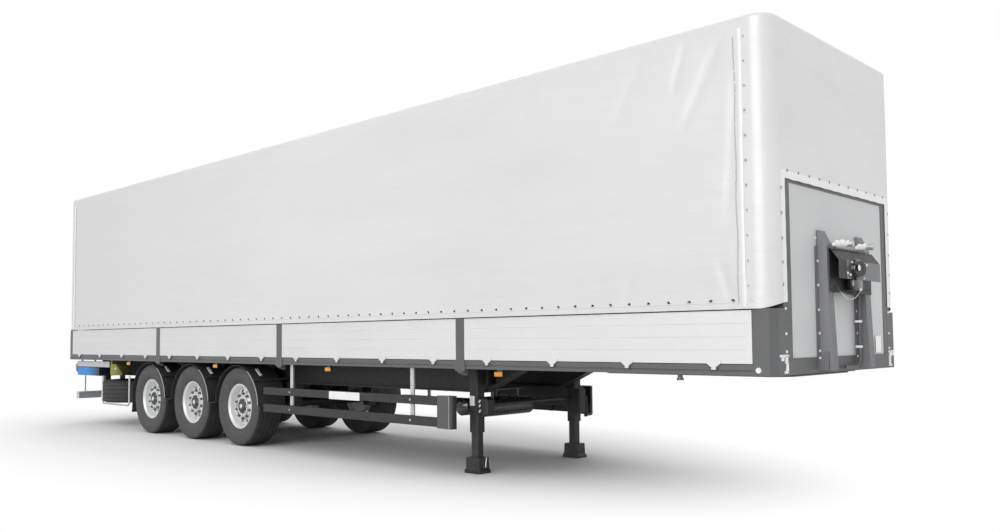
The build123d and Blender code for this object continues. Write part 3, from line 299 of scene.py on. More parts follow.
# Two tones in one imported piece, by where its surface lies. The lamps turn dark behind their lens faces; the boards,
# the cover, the blue box and the chock get painted shade that darkens them towards one end.
def twoToneAndPaintedShade(slot, axis, low, high, code, folded=False):
    tree = finishes[slot].node_tree
    shader = tree.nodes["Principled BSDF"]
    value = position(tree, axis)
    if folded:
        value = reckoned(tree, "ABSOLUTE", value)
    base = shader.inputs["Base Color"]
    feed(tree, base, mixed(tree, ranged(tree, value, low, high), base.links[0].from_socket, colour(code)))


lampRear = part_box("tail_lamps")[0].x
twoToneAndPaintedShade("amber_lens", "Y", 1.2365, 1.2360, "1C1C1D", True)
twoToneAndPaintedShade("red_lens", "X", lampRear + 0.010, lampRear + 0.011, "1C1C1D")
# Painted shade: the boards and the cover darken smoothly towards the rear.
twoToneAndPaintedShade("panel_aluminium", "X", 3.0, -7.0, "CFCFD0")
twoToneAndPaintedShade("cover_cloth", "X", 0.0, -7.5, "CCCCCD")
# Painted shade: the blue box and the chock darken towards their front ends.
twoToneAndPaintedShade("blue_plastic", "X", -6.25, -5.80, "0A1C30")
twoToneAndPaintedShade("chock_plastic", "X", -5.25, -4.90, "2E2F0C")
toned = dict(service_console="consoleGrey", bulkhead_braces="braceGrey", landing_shaft="dark")
for entry in frame["record"]["subparts"]:
    part = nodes[entry["node"]]
    part.data.materials.clear()
    part.data.materials.append(everyFinish[toned.get(entry["node"], entry["material_slot"])])


# Mesh makers shared by the pieces below.
def boxInto(bm, low, high, bevel=0.0, segments=2):
    size = [max(end - start, 0.0001) for start, end in zip(low, high)]
    middle = [(start + end) / 2 for start, end in zip(low, high)]
    place = Matrix.Translation(middle) @ Matrix.Diagonal((*size, 1.0))
    verts = bmesh.ops.create_cube(bm, size=1.0, matrix=place)["verts"]
    if bevel:
        edges = list({edge for vert in verts for edge in vert.link_edges})
        bmesh.ops.bevel(bm, geom=edges, offset=bevel, offset_type="OFFSET", segments=segments, profile=0.5,
                        affect="EDGES", material=-1, clamp_overlap=True)


# Y is given for the left side and turned over for the right one
def sideBoxInto(bm, way, low, high, *bevel):
    near, far = sorted((way * low[1], way * high[1]))
    boxInto(bm, (low[0], near, low[2]), (high[0], far, high[2]), *bevel)


def barInto(bm, start, end, radius, sides=12, endRadius=None):
    start, end = Vector(start), Vector(end)
    way = end - start
    place = Matrix.Translation((start + end) / 2) @ way.to_track_quat("Z", "Y").to_matrix().to_4x4()
    bmesh.ops.create_cone(bm, cap_ends=True, segments=sides, radius1=radius,
                          radius2=radius if endRadius is None else endRadius, depth=way.length, matrix=place)


def boltInto(bm, point, way, radius, height):
    point, way = Vector(point), Vector(way)
    barInto(bm, point, point + way * height * 0.25, radius * 1.35, 12)
    barInto(bm, point + way * height * 0.25, point + way * height, radius, 6)


# The outline holds (radius, y) pairs
def spinInto(bm, outline, middle, steps):
    verts = [bm.verts.new((middle[0] + radius, middle[1] + out, middle[2])) for radius, out in outline]
    edges = [bm.edges.new(pair) for pair in zip(verts, verts[1:] + verts[:1])]
    bmesh.ops.spin(bm, geom=verts + edges, cent=middle, axis=(0, 1, 0), angle=2 * math.pi, steps=steps,
                   use_merge=True)
    bmesh.ops.remove_doubles(bm, verts=bm.verts, dist=0.00001)


def meshFrom(bm, name):
    mesh = bpy.data.meshes.new(name)
    bm.to_mesh(mesh)
    bm.free()
    return mesh


def pieceFrom(bm, name, finish, rides="chassis", smooth=35.0, outward=True):
    if outward:
        bmesh.ops.recalc_face_normals(bm, faces=bm.faces)
    mesh = meshFrom(bm, name)
    mesh.shade_smooth()
    mesh.set_sharp_from_angle(angle=math.radians(smooth))
    piece = placed(name, mesh)
    mesh.materials.append(everyFinish[finish])
    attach(piece, rides)
    return piece


# Each part is a maker with what it is given after the mesh
def pieceOf(name, finish, *parts, rides="chassis"):
    bm = bmesh.new()
    for maker, *given in parts:
        maker(bm, *given)
    return pieceFrom(bm, name, finish, rides)


def eased(value, low, high):
    share = min(max((value - low) / (high - low), 0.0), 1.0)
    return share * share * (3 - 2 * share)


# 0 at each multiple of the pitch and 1 midway between two
def ripple(value, pitch):
    return 0.5 - 0.5 * math.cos(2 * math.pi * value / pitch)


# The cover: sheets laced over the steelwork, each a curved shell as thin as the cloth.
cover = dict(
    hem=1.650, top=3.9985, turn=0.036, tuck=0.030, rearRound=0.095, thickness=0.0016, inset=0.0045,
    frontSeam=6.4475, rearSeam=-6.7225, seamLap=0.012, endLap=0.07, endProud=0.0012,
    lathZs=(1.988, 2.551, 3.114, 3.677), eyeletPitch=0.20, bowStart=-6.7725, bowPitch=0.7356,
    frontRise=0.050, cutHalf=1.050, cutTop=2.686, creaseGain=2.3, sideSway=(-0.0100, 0.0040), endSway=(-0.0070, 0.0035),
)
creases = [
    # x and z of both ends, width, depth: the long soft folds near the front top corner
    (6.30, 3.90, 5.86, 3.10, 0.050, 0.0050), (5.95, 3.94, 5.80, 3.45, 0.035, 0.0040),
    (6.40, 3.60, 6.30, 2.30, 0.040, 0.0035), (5.55, 3.94, 5.15, 3.25, 0.060, 0.0035),
    (6.20, 2.10, 6.32, 1.72, 0.030, 0.0035), (5.40, 2.05, 5.25, 1.70, 0.045, 0.0030),
    (4.30, 3.94, 4.05, 3.40, 0.060, 0.0025), (1.10, 3.94, 0.95, 3.30, 0.060, 0.0022),
    (3.60, 2.20, 3.45, 1.72, 0.050, 0.0025), (-2.30, 3.94, -2.45, 3.35, 0.060, 0.0022),
]


def topDrop(x):
    depth = min(cover["rearRound"] - (x - body["rear"]), cover["rearRound"] * 0.98)
    return cover["rearRound"] - math.sqrt(cover["rearRound"] ** 2 - depth ** 2) if depth > 0 else 0.0


def settled(point):
    between = ripple(point.x - cover["bowStart"], cover["bowPitch"])
    drop = topDrop(point.x) * eased(point.z, 3.2, 3.95) + 0.0035 * between * eased(point.z, 3.85, 3.97)
    return Vector((point.x, point.y, point.z - drop))


# How far in and how high a sheet is, from its hem (0) over its rounded top edge to its tucked edge (1)
def riseOver(v):
    turn, top = cover["turn"], cover["top"]
    if v < 0.85:
        return 0.0, cover["hem"] + (top - turn - cover["hem"]) * v / 0.85
    along = (v - 0.85) / 0.15 * (turn * math.pi / 2 + cover["tuck"])
    angle = min(along / turn, math.pi / 2)
    return turn * (1 - math.cos(angle)) + max(along - turn * math.pi / 2, 0.0), top - turn * (1 - math.sin(angle))


def held(value, span):
    return min(max(value, span[0]), span[1])


def creaseDepth(along, z):
    depth = 0.0
    for startX, startZ, endX, endZ, width, most in creases:
        runX, runZ = endX - startX, endZ - startZ
        share = held(((along - startX) * runX + (z - startZ) * runZ) / (runX * runX + runZ * runZ), (0.0, 1.0))
        gap = math.hypot(along - startX - share * runX, z - startZ - share * runZ)
        depth += most * math.exp(-(gap / width) ** 2) * (1 - abs(2 * share - 1) ** 3)
    return depth


def sideRelief(x, z, way):
    laths = sum(math.exp(-((z - lathZ) / 0.10) ** 2) for lathZ in cover["lathZs"])
    streaks = noise.noise(Vector((x * 0.55, z * 3.6, way * 3.1))) * 0.0030
    billow = noise.noise(Vector((x * 0.32, z * 0.7, 7.0 + way))) * 0.0030
    upright = noise.noise(Vector((x * 4.5 + z * 0.8, z * 0.5, 3.0 + way))) * 0.0030
    ends = eased(x, 4.4, 6.4) + eased(-x, 5.9, 6.7) * 0.7 + 0.15
    hang = math.exp(-(z - cover["hem"]) / 0.06) * ripple(x, cover["eyeletPitch"]) * -0.0032
    relief = laths * (0.0012 + streaks * 0.5) + streaks * 0.6 + billow + upright * ends + hang
    return held(relief - creaseDepth(x, z) * cover["creaseGain"], cover["sideSway"]) * (1 - eased(z, 3.88, 3.96))


def endRelief(s, z):
    folds = noise.noise(Vector((s * 3.2, z * 0.5, 11.0))) * 0.0028
    billow = noise.noise(Vector((s * 0.9, z * 0.8, 17.0))) * 0.0035
    hang = math.exp(-(z - cover["hem"]) / 0.06) * ripple(s, cover["eyeletPitch"]) * -0.0024
    return held(folds + billow + hang, cover["endSway"]) * (1 - eased(z, 3.88, 3.96))


# Plan path of a sheet round one end, s metres from the middle of the end face
def endPlace(way, s, z, lift):
    radius = body["frontCorner"] if way > 0 else body["rearCorner"]
    faceX = body["front"] if way > 0 else -body["rear"]
    flat = body["half"] - radius
    arc = radius * math.pi / 2
    run, side = abs(s), math.copysign(1.0, s)
    if run <= flat:
        x, y, outX, outY = faceX, run, 1.0, 0.0
    elif run <= flat + arc:
        angle = (run - flat) / radius
        outX, outY = math.cos(angle), math.sin(angle)
        x, y = faceX - radius + radius * outX, flat + radius * outY
    else:
        x, y, outX, outY = faceX - radius - (run - flat - arc), body["half"], 0.0, 1.0
    return Vector((way * (x + outX * lift), side * (y + outY * lift), z))


# The front sheet's hem climbs a little between the corner and the cut-out
def hemRise(way, s, z):
    climb = cover["frontRise"] * (1 - eased(abs(s), 1.06, 1.34)) if way > 0 else 0.0
    return climb * (1 - eased(z, cover["hem"], cover["hem"] + 0.5))


def onSide(way, x, z, lift=0.0):
    return Vector((x, way * (body["half"] - cover["inset"] + sideRelief(x, z, way) + lift), z))


def onEnd(way, s, z, lift=0.0):
    return endPlace(way, s, z + hemRise(way, s, z), cover["endProud"] - cover["inset"] + endRelief(s, z) + lift)


def endReach(way):
    radius = body["frontCorner"] if way > 0 else body["rearCorner"]
    return body["half"] - radius + radius * math.pi / 2 + cover["endLap"]


def sheetFrom(name, columns, rows, place, finish="cover_cloth", outward=(0, 0, 1), cut=None,
              thickness=cover["thickness"]):
    bm = bmesh.new()
    bmesh.ops.create_grid(bm, x_segments=columns, y_segments=rows, size=0.5)
    for vert in bm.verts:
        vert.co = place(vert.co.x + 0.5, vert.co.y + 0.5)
    bm.normal_update()
    if sum(face.normal.dot(Vector(outward)) for face in bm.faces) < 0:
        bmesh.ops.reverse_faces(bm, faces=bm.faces)
    if cut:
        cut(bm)
    bmesh.ops.solidify(bm, geom=bm.faces[:], thickness=thickness)
    return pieceFrom(bm, name, finish, smooth=60.0)


def makeSideSheet(side, way):
    start, end = cover["rearSeam"] - cover["seamLap"], cover["frontSeam"] + cover["seamLap"]

    def place(u, v):
        inward, z = riseOver(v)
        return settled(onSide(way, start + (end - start) * u, z, -inward))

    return sheetFrom("sideSheet_" + side, 480, 74, place, outward=(0, way, 0))


def cutFront(bm):
    for point, normal in (((0, cover["cutHalf"], 0), (0, 1, 0)), ((0, -cover["cutHalf"], 0), (0, -1, 0)),
                          ((0, 0, cover["cutTop"]), (0, 0, 1))):
        bmesh.ops.bisect_plane(bm, geom=bm.verts[:] + bm.edges[:] + bm.faces[:], plane_co=point, plane_no=normal,
                               dist=0.00001)
    gone = []
    for face in bm.faces:
        middle = face.calc_center_median()
        inCut = abs(middle.y) < cover["cutHalf"] and middle.z < cover["cutTop"]
        if middle.x > body["front"] - 0.05 and inCut:
            gone.append(face)
    bmesh.ops.delete(bm, geom=gone, context="FACES")


def makeEndSheet(name, way):
    reach = endReach(way)

    def place(u, v):
        inward, z = riseOver(v)
        return settled(onEnd(way, -reach + 2 * reach * u, z, -inward))

    return sheetFrom(name, 170, 84, place, outward=(way, 0, 0), cut=cutFront if way > 0 else None)


def roofSag(x, y):
    between = ripple(x - cover["bowStart"], cover["bowPitch"])
    inner = 1 - (abs(y) / body["half"]) ** 4
    return -0.0060 * inner * between + noise.noise(Vector((x * 0.9, y * 1.4, 2.0))) * 0.0015 * inner


def makeRoofSheet():
    edge, steps = 0.041, 12
    low, high = body["rear"] + edge, body["front"] - edge
    xs = [low + (body["rearCorner"] - edge) * (1 - math.cos(math.pi / 2 * step / steps)) for step in range(steps)]
    inner = (body["rear"] + body["rearCorner"], body["front"] - body["frontCorner"])
    xs += [inner[0] + (inner[1] - inner[0]) * step / 108 for step in range(109)]
    xs += [high - (body["frontCorner"] - edge) * (1 - math.sin(math.pi / 2 * step / steps))
           for step in range(1, steps + 1)]

    def place(u, v):
        x = xs[round(u * (len(xs) - 1))]
        loss = 0.0
        for beyond, radius in ((x - inner[1], body["frontCorner"] - edge), (inner[0] - x, body["rearCorner"] - edge)):
            if beyond > 0:
                loss = radius - math.sqrt(max(radius ** 2 - beyond ** 2, 0.0))
        y = (body["half"] - edge - loss) * (2 * v - 1)
        point = settled(Vector((x, y, cover["top"] + cover["endProud"])))
        return Vector((x, y, point.z + roofSag(x, y)))

    return sheetFrom("roofSheet", len(xs) - 1, 24, place)


sideSheets = {side: makeSideSheet(side, way) for side, way in sides.items()}
frontSheet = makeEndSheet("frontSheet", 1)
rearSheet = makeEndSheet("rearSheet", -1)
roofSheet = makeRoofSheet()
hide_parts("cover_sides")
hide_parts("cover_sides")
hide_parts("cover_front")
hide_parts("cover_rear")
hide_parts("cover_roof")
print("cover sheets made")


# Hems, reinforced edges and eyelets.
trim = dict(hemHeight=0.055, proud=0.0012, bandThickness=0.0014, eyeletRise=0.070, eyeletProud=0.0004, pinSunk=0.0036)


def eyeletMesh():
    bm = bmesh.new()
    spinInto(bm, [(0.0105, -0.0004), (0.0135, 0.0030), (0.0175, -0.0004)], (0, 0, 0), 12)
    bmesh.ops.scale(bm, vec=(1.25, 1.0, 0.85), verts=bm.verts)
    bmesh.ops.recalc_face_normals(bm, faces=bm.faces)
    return meshFrom(bm, "eyelet")


def stapleMesh():
    bm = bmesh.new()
    boxInto(bm, (-0.004, 0.0, -0.009), (0.004, 0.012, 0.009), 0.0015, 1)
    boxInto(bm, (-0.017, 0.008, -0.0035), (0.017, 0.013, 0.0035), 0.0015, 1)
    bmesh.ops.recalc_face_normals(bm, faces=bm.faces)
    return meshFrom(bm, "staple")


eyelet, staple = eyeletMesh(), stapleMesh()


# The small part's +Y turns to outward, and its X stays level
def copyInto(bm, mesh, point, outward, turn=0.0):
    start = len(bm.verts)
    bm.from_mesh(mesh)
    bm.verts.ensure_lookup_table()
    outward = Vector(outward).normalized()
    level = outward.cross(Vector((0, 0, 1))).normalized()
    axes = Matrix((level, outward, level.cross(outward))).transposed().to_4x4()
    place = Matrix.Translation(point) @ axes @ Matrix.Rotation(turn, 4, "Y")
    bmesh.ops.transform(bm, matrix=place, verts=bm.verts[start:])


def makeHems():
    start, end = cover["rearSeam"], cover["frontSeam"]
    for side, way in sides.items():
        def place(u, v):
            return onSide(way, start + (end - start) * u, cover["hem"] - 0.0005 + trim["hemHeight"] * v, trim["proud"])

        hem = sheetFrom("sideHem_" + side, 520, 3, place, outward=(0, way, 0), thickness=trim["bandThickness"])
        rings, pins = bmesh.new(), bmesh.new()
        for number in range(int((end - start) / cover["eyeletPitch"]) + 1):
            x, z = start + 0.06 + cover["eyeletPitch"] * number, cover["hem"] + trim["eyeletRise"]
            if x > end - 0.03:
                continue
            copyInto(rings, eyelet, onSide(way, x, z, trim["eyeletProud"]), (0, way, 0))
            copyInto(pins, staple, onSide(way, x, z, -trim["pinSunk"]), (0, way, 0), 0.35 * math.sin(number * 2.1))
        ringPiece = pieceFrom(rings, "sideEyelets_" + side, "silver", outward=False)
        pinPiece = pieceFrom(pins, "sideStaples_" + side, "dark", outward=False)
        thread = sheetFrom("hemStitch_" + side, 520, 1,
                           lambda u, v: place(u, 0.86 + 0.03 * v) + Vector((0, way * 0.0004, 0)),
                           finish="stitch", outward=(0, way, 0), thickness=0.0006)
        yield side, [hem, ringPiece, pinPiece, thread]


def makeEndHem(name, way):
    reach, inner, pieces, rings = endReach(way), cover["cutHalf"], [], bmesh.new()
    spans = [(-reach, -inner), (inner, reach)] if way > 0 else [(-reach, reach)]
    for number, (start, end) in enumerate(spans):
        def place(u, v):
            return onEnd(way, start + (end - start) * u, cover["hem"] - 0.0005 + trim["hemHeight"] * v, trim["proud"])

        pieces.append(sheetFrom(f"{name}Hem_{number}", 24 if way > 0 else 90, 3, place, outward=(way, 0, 0),
                                thickness=trim["bandThickness"]))
        count = int((end - start) / cover["eyeletPitch"])
        for step in range(count + 1):
            s = start + 0.05 + (end - start - 0.10) * step / max(count, 1)
            z = cover["hem"] + trim["eyeletRise"]
            copyInto(rings, eyelet, onEnd(way, s, z, trim["eyeletProud"]),
                     endPlace(way, s, z, 0.05) - endPlace(way, s, z, 0.0))
    pieces.append(pieceFrom(rings, name + "Eyelets", "silver", outward=False))
    return pieces


# Along each corner: a raised white flap, grey strips beside it that are painted shade of the fold there, and the
# eyelets of its lacing, with grey discs in their holes as painted shade
flap = dict(width=0.036, shift=0.003, proud=0.0058, low=1.668, high=3.895, fold=0.012, foldFrom=0.062, folds=24,
            eyeletFrom=0.026, eyeletLow=1.83, eyeletPitch=0.199, holeShadeRadius=0.0065)


def makeCornerLacing():
    rings, holeShades, folds, pieces = bmesh.new(), bmesh.new(), bmesh.new(), []
    for side, way in sides.items():
        for edge, seam, lean in (("front", cover["frontSeam"], 1), ("rear", cover["rearSeam"], -1)):
            def place(u, v):
                z = flap["low"] + (flap["high"] - flap["low"]) * v
                lift = 0.0012 + flap["proud"] * math.sin(math.pi * min(max(u, 0.04), 0.96)) ** 0.6
                x = seam + lean * (flap["shift"] - flap["width"] * (1 - u))
                return settled(onSide(way, x + noise.noise(Vector((z * 2.0, 5.0, way))) * 0.004, z, lift))

            pieces.append(sheetFrom(f"cornerFlap_{edge}_{side}", 8, 90, place, finish="webbing",
                                    outward=(0, way, 0), thickness=0.0012))
            # Grey strips stepping up beside the flap: painted shade of the fold there.
            rise = (flap["high"] - 0.06 - flap["low"]) / flap["folds"]
            for step in range(flap["folds"]):
                low = flap["low"] + rise * step
                x = seam - lean * (flap["foldFrom"] + 0.004 * math.sin(step * 0.9))
                out = abs(onSide(way, x, low + rise / 2, 0.0005).y)
                sideBoxInto(folds, way, (x - flap["fold"] / 2, out, low),
                            (x + flap["fold"] / 2, out + 0.0006, low + rise + 0.002))
            for step in range(11):
                x, z = seam + lean * flap["eyeletFrom"], flap["eyeletLow"] + step * flap["eyeletPitch"]
                out = body["half"] - cover["inset"] + 0.0014 + endRelief(body["half"], z)
                copyInto(rings, eyelet, (x, way * out, z), (0, way, 0), math.pi / 2)
                # A grey disc in each eyelet's hole: painted shade.
                barInto(holeShades, (x, way * (out - 0.001), z), (x, way * (out + 0.0016), z), flap["holeShadeRadius"], 10)
    return pieces + [pieceFrom(rings, "cornerEyelets", "silver", outward=False),
                     pieceFrom(holeShades, "cornerHoleShade", "nutSteel"), pieceFrom(folds, "cornerFoldShade", "pale")]


# The stiffened white edge round the opening in the front sheet
opening = dict(band=0.062, eyeletOut=0.064, pitch=0.20, wave=0.0035, proud=0.0016, thickness=0.0014)


def makeOpeningTrim():
    half, top, pieces = cover["cutHalf"], cover["cutTop"], []
    rings, holeShades = bmesh.new(), bmesh.new()

    def upright(way):
        def place(u, v):
            z = cover["hem"] + (top + opening["band"] - cover["hem"]) * v
            inner = half - opening["wave"] * ripple(z, opening["pitch"])
            return onEnd(1, way * (inner + (half + opening["band"] - inner) * u), z, opening["proud"])
        return place

    def across(u, v):
        y = -half + 2 * half * u
        inner = top - opening["wave"] * ripple(y, opening["pitch"])
        return onEnd(1, y, inner + (top + opening["band"] - inner) * v, opening["proud"])

    for name, columns, rows, place in (("openingEdge_1", 4, 70, upright(1)), ("openingEdge_-1", 4, 70, upright(-1)),
                                       ("openingTop", 90, 4, across)):
        pieces.append(sheetFrom(name, columns, rows, place, finish="webbing", outward=(1, 0, 0),
                                thickness=opening["thickness"]))
    spots = [(way * (half + opening["eyeletOut"]), 1.80 + opening["pitch"] * step)
             for way in (1, -1) for step in range(5)]
    spots += [(-half + 0.05 + (2 * half - 0.10) * step / 10, top + opening["eyeletOut"]) for step in range(11)]
    for y, z in spots:
        point = onEnd(1, y, z, 0.0012)
        copyInto(rings, eyelet, point, (1, 0, 0), math.pi / 2 if z < top else 0.0)
        # A grey disc in each eyelet's hole: painted shade.
        barInto(holeShades, point - Vector((0.001, 0, 0)), point + Vector((0.0024, 0, 0)), 0.0105, 10)
    return pieces + [pieceFrom(rings, "openingEyelets", "silver", outward=False),
                     pieceFrom(holeShades, "openingHoleShade", "nutSteel")]


hems = dict(makeHems())
frontTrim = makeEndHem("front", 1)
rearTrim = makeEndHem("rear", -1)
cornerTrim = makeCornerLacing() + makeOpeningTrim()
for side in sides:
    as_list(hems[side])
print("hems and eyelets made")


# Tyres with their tread, over the plain turned solids.
tyre = dict(steps=96, sidewallTo=0.515, middleY=1.020, shoulderYs=(0.150, 0.172), groove=0.0035)
tyreHalf = [
    (0.292, 0.128), (0.300, 0.147), (0.318, 0.158), (0.326, 0.163), (0.345, 0.176), (0.382, 0.187),
    (0.420, 0.1915), (0.452, 0.1905), (0.478, 0.1865), (0.483, 0.1880), (0.489, 0.1865), (0.512, 0.1760),
    (0.525, 0.1640), (0.531, 0.1500), (0.533, 0.1120), (0.526, 0.1085), (0.526, 0.1015), (0.5345, 0.0980),
    (0.536, 0.0460), (0.527, 0.0430), (0.527, 0.0350), (0.536, 0.0320),
]


def makeTyre(name, middle, axis, rides, replaced):
    bm = bmesh.new()
    outline = tyreHalf + [(radius, -out) for radius, out in reversed(tyreHalf)]
    spinInto(bm, outline, (0, 0, 0), tyre["steps"])
    bmesh.ops.recalc_face_normals(bm, faces=bm.faces)
    shoulders = []
    for face in bm.faces:
        x, y, z = face.calc_center_median()
        if tyre["shoulderYs"][0] < abs(y) < tyre["shoulderYs"][1] and math.hypot(x, z) > tyre["sidewallTo"]:
            shoulders.append(face)
    bmesh.ops.inset_individual(bm, faces=shoulders, thickness=tyre["groove"], depth=tyre["groove"])
    turn = Matrix.Identity(4) if axis == "Y" else Matrix.Rotation(math.pi / 2, 4, "X")
    bmesh.ops.transform(bm, matrix=Matrix.Translation(middle) @ turn, verts=bm.verts)
    piece = pieceFrom(bm, name, "tyre_rubber", rides, smooth=28.0)
    piece.data.materials.append(extraFinishes["sidewall"])
    for face in piece.data.polygons:
        gap = face.center - Vector(middle)
        face.material_index = int(math.hypot(gap.x, gap.z if axis == "Y" else gap.y) < tyre["sidewallTo"])
    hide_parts(replaced)


# Metres out from the trailer's middle plane, and radii from the axle
wheel = dict(
    face=1.112, nuts=10, nutCircle=0.1675, studs=8, studCircle=0.097, studY=1.1355, capYs=(1.154, 1.1585),
    # start and end out from the face, radius, sides and end radius of a nut's washer, hexagon and stud
    nutParts=((0.0, 0.006, 0.0215, 16), (0.006, 0.026, 0.0165, 6), (0.026, 0.036, 0.0100, 12, 0.008)),
)
hubCup = [(0.108, 0.0), (0.112, 0.012), (0.106, 0.021), (0.088, 0.0245), (0.075, 0.040), (0.030, 0.043), (0.030, 0.0)]


def ringPoint(x, y, radius, degrees):
    angle = math.radians(degrees)
    return Vector((x + radius * math.cos(angle), y, axles["z"] + radius * math.sin(angle)))


def makeWheelTrim(number, side, way, x):
    rides, face, z = f"wheelset_{number}_{side}", way * wheel["face"], axles["z"]
    nuts = []
    for step in range(wheel["nuts"]):
        point = ringPoint(x, face, wheel["nutCircle"], 360 / wheel["nuts"] * (step + 0.5))
        for start, end, *rest in wheel["nutParts"]:
            nuts.append((barInto, point + Vector((0, way * start, 0)), point + Vector((0, way * end, 0)), *rest))
    valve = (barInto, (x + 0.24, face + way * 0.004, z), (x + 0.262, face + way * 0.045, z), 0.004, 8)
    pieceOf(f"wheelNuts_{number}_{side}", "nutSteel", *nuts, valve, rides=rides)
    outline = [(radius, way * out) for radius, out in hubCup]
    pieceOf(f"hubCup_{number}_{side}", "dark", (spinInto, outline, (x, face + way * 0.0006, z), 48), rides=rides)
    studs = [(boltInto, ringPoint(x, way * wheel["studY"], wheel["studCircle"], 45 * step), (0, way, 0), 0.006, 0.006)
             for step in range(wheel["studs"])]
    cap = (barInto, *[(x, way * y, z) for y in wheel["capYs"]], 0.034, 24, 0.028)
    pieceOf(f"hubCap_{number}_{side}", "silver", *studs, cap, rides=rides)


for number, x in enumerate(axles["xs"], start=1):
    for side, way in sides.items():
        makeTyre(f"treadedTyre_{number}_{side}", (x, way * tyre["middleY"], axles["z"]), "Y",
                 f"wheelset_{number}_{side}", f"tyre_{number}_{side}")
        makeWheelTrim(number, side, way, x)
spareLow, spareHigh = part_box("spare_tyre")
makeTyre("treadedSpare", (spareLow + spareHigh) / 2, "Z", "chassis", "spare_tyre")
print("tyres and wheel trim made")


# Small fittings that the photograph shows, in front and along the right side
def tubeInto(bm, points, radius):
    for start, end in zip(points, points[1:]):
        barInto(bm, start, end, radius, 12)
    for point in points[1:-1]:
        bmesh.ops.create_icosphere(bm, subdivisions=2, radius=radius, matrix=Matrix.Translation(point))


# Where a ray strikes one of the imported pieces
def struck(name, start, way):
    part = nodes[name]
    back = part.matrix_world.inverted()
    found, spot, normal, face = part.ray_cast(back @ Vector(start), back.to_3x3() @ Vector(way))
    return [part.matrix_world @ spot] if found else []


def ontoFront(y, z):
    spots = [spot for name in ("bulkhead_braces", "bulkhead_frame", "bulkhead_wall", "service_console")
             for spot in struck(name, (7.2, y, z), (-1, 0, 0))]
    return Vector((max(spot.x for spot in spots), y, z))


bpy.context.view_layer.update()
front = dict(
    boltYs=((-0.480, (2.251, 2.055, 1.854, 1.649, 1.453, 1.307, 1.249)), (0.305, (1.650, 1.453, 1.249)),
            (-1.072, (1.648, 1.450, 1.310)), (1.072, (1.648, 1.450, 1.310))),
    panelBolts=((-0.165, 2.052), (0.069, 2.050), (0.150, 2.042), (-0.262, 1.957), (-0.205, 1.945), (0.080, 1.925)),
    conduit=((6.722, 0.270, 1.86), (6.722, 0.268, 1.240), (6.722, 0.248, 1.195), (6.722, 0.200, 1.166),
             (6.722, 0.150, 1.160), (6.722, -0.067, 1.166)),
    clips=(1.557, 1.333), palms=((-0.332, 2.206), (0.150, 2.206)),
    plate=((6.679, 0.740, 1.272), (6.682, 0.868, 1.428)), lowPlate=((6.6735, 0.672, 1.126), (6.6765, 0.872, 1.248)),
    # middle y and z of each box of a latch, then half its width and height
    latch=((1.120, 1.278, 0.070, 0.010), (1.085, 1.250, 0.018, 0.034), (1.072, 1.190, 0.014, 0.045),
           (1.086, 1.150, 0.030, 0.010), (1.150, 1.258, 0.016, 0.020)),
)


def makeFrontFittings():
    ahead, both = (1, 0, 0), (1, -1)
    pieceOf("frontBolts", "white",
            *[(boltInto, ontoFront(y, z), ahead, 0.009, 0.009) for y, heights in front["boltYs"] for z in heights],
            *[(boltInto, (6.8455, y, z), ahead, 0.0085, 0.009) for y, z in front["panelBolts"]],
            (boltInto, (6.852, -0.021, 1.824), ahead, 0.011, 0.010))
    pieceOf("frontConduit", "capGrey", (tubeInto, front["conduit"], 0.0145))
    pieceOf("frontClips", "plate",
            *[(boxInto, (6.690, 0.240, z - 0.011), (6.7385, 0.292, z + 0.011), 0.003, 1) for z in front["clips"]],
            (boxInto, *front["plate"], 0.001, 1))
    pieceOf("frontPalePlates", "pale", (boxInto, *front["lowPlate"], 0.001, 1),
            *[(sideBoxInto, way, (6.6682, 1.062, 1.30), (6.6712, 1.128, 1.645)) for way in both])
    # dark upright and top strips of the frame in front of the wall
    pieceOf("wallFrameStrips", "frame_paint",
            *[(sideBoxInto, way, (6.6695, 0.957, 1.257), (6.6765, 1.046, 2.680)) for way in both],
            (boxInto, (6.6695, -1.046, 2.661), (6.6767, 1.046, 2.681)))
    reach = ontoFront(0.0, 2.55).x
    pieceOf("wallSkin", "wall_paint", (boxInto, (reach + 0.0002, -0.9568, 1.2572), (reach + 0.0012, 0.9568, 2.6608)))
    # a hooked latch low on each corner, and a round stop behind it
    pieceOf("cornerLatches", "plate",
            *[(boxInto, (6.6675, way * y - halfY, z - halfZ), (6.6905, way * y + halfY, z + halfZ), 0.004, 1)
              for way in both for y, z, halfY, halfZ in front["latch"]],
            *[(barInto, (6.532, way * 1.2552, 1.166), (6.532, way * 1.2640, 1.166), 0.024, 20, 0.020) for way in both])


console = dict(
    panel=((6.8427, -0.277, 1.909), (6.8452, 0.461, 2.065)), socketBox=((6.785, -0.143, 1.815), (6.851, 0.048, 1.9075)),
    # start, end, radius, sides and end radius of each turned part of the housing
    housing=(((6.8450, -0.085, 1.996), (6.8640, -0.085, 1.996), 0.093, 32, 0.091),
             ((6.8640, -0.095, 1.996), (6.8930, -0.105, 1.996), 0.084, 32, 0.066),
             ((6.8450, 0.020, 1.995), (6.8775, 0.020, 1.995), 0.050, 24)),
    # The white disc on the socket's face is a painted highlight.
    lid=((6.8925, -0.130, 2.004), (6.8942, -0.130, 2.004), 0.026, 20),
    # x, radius and shift along Y of the three lumps of a palm coupling's cover
    lumps=((6.802, 0.026, -0.030), (6.836, 0.030, 0.0), (6.872, 0.024, 0.034)),
)


def lumpInto(bm, middle, radius):
    bmesh.ops.create_uvsphere(bm, u_segments=16, v_segments=10, radius=radius, matrix=Matrix.Translation(middle))


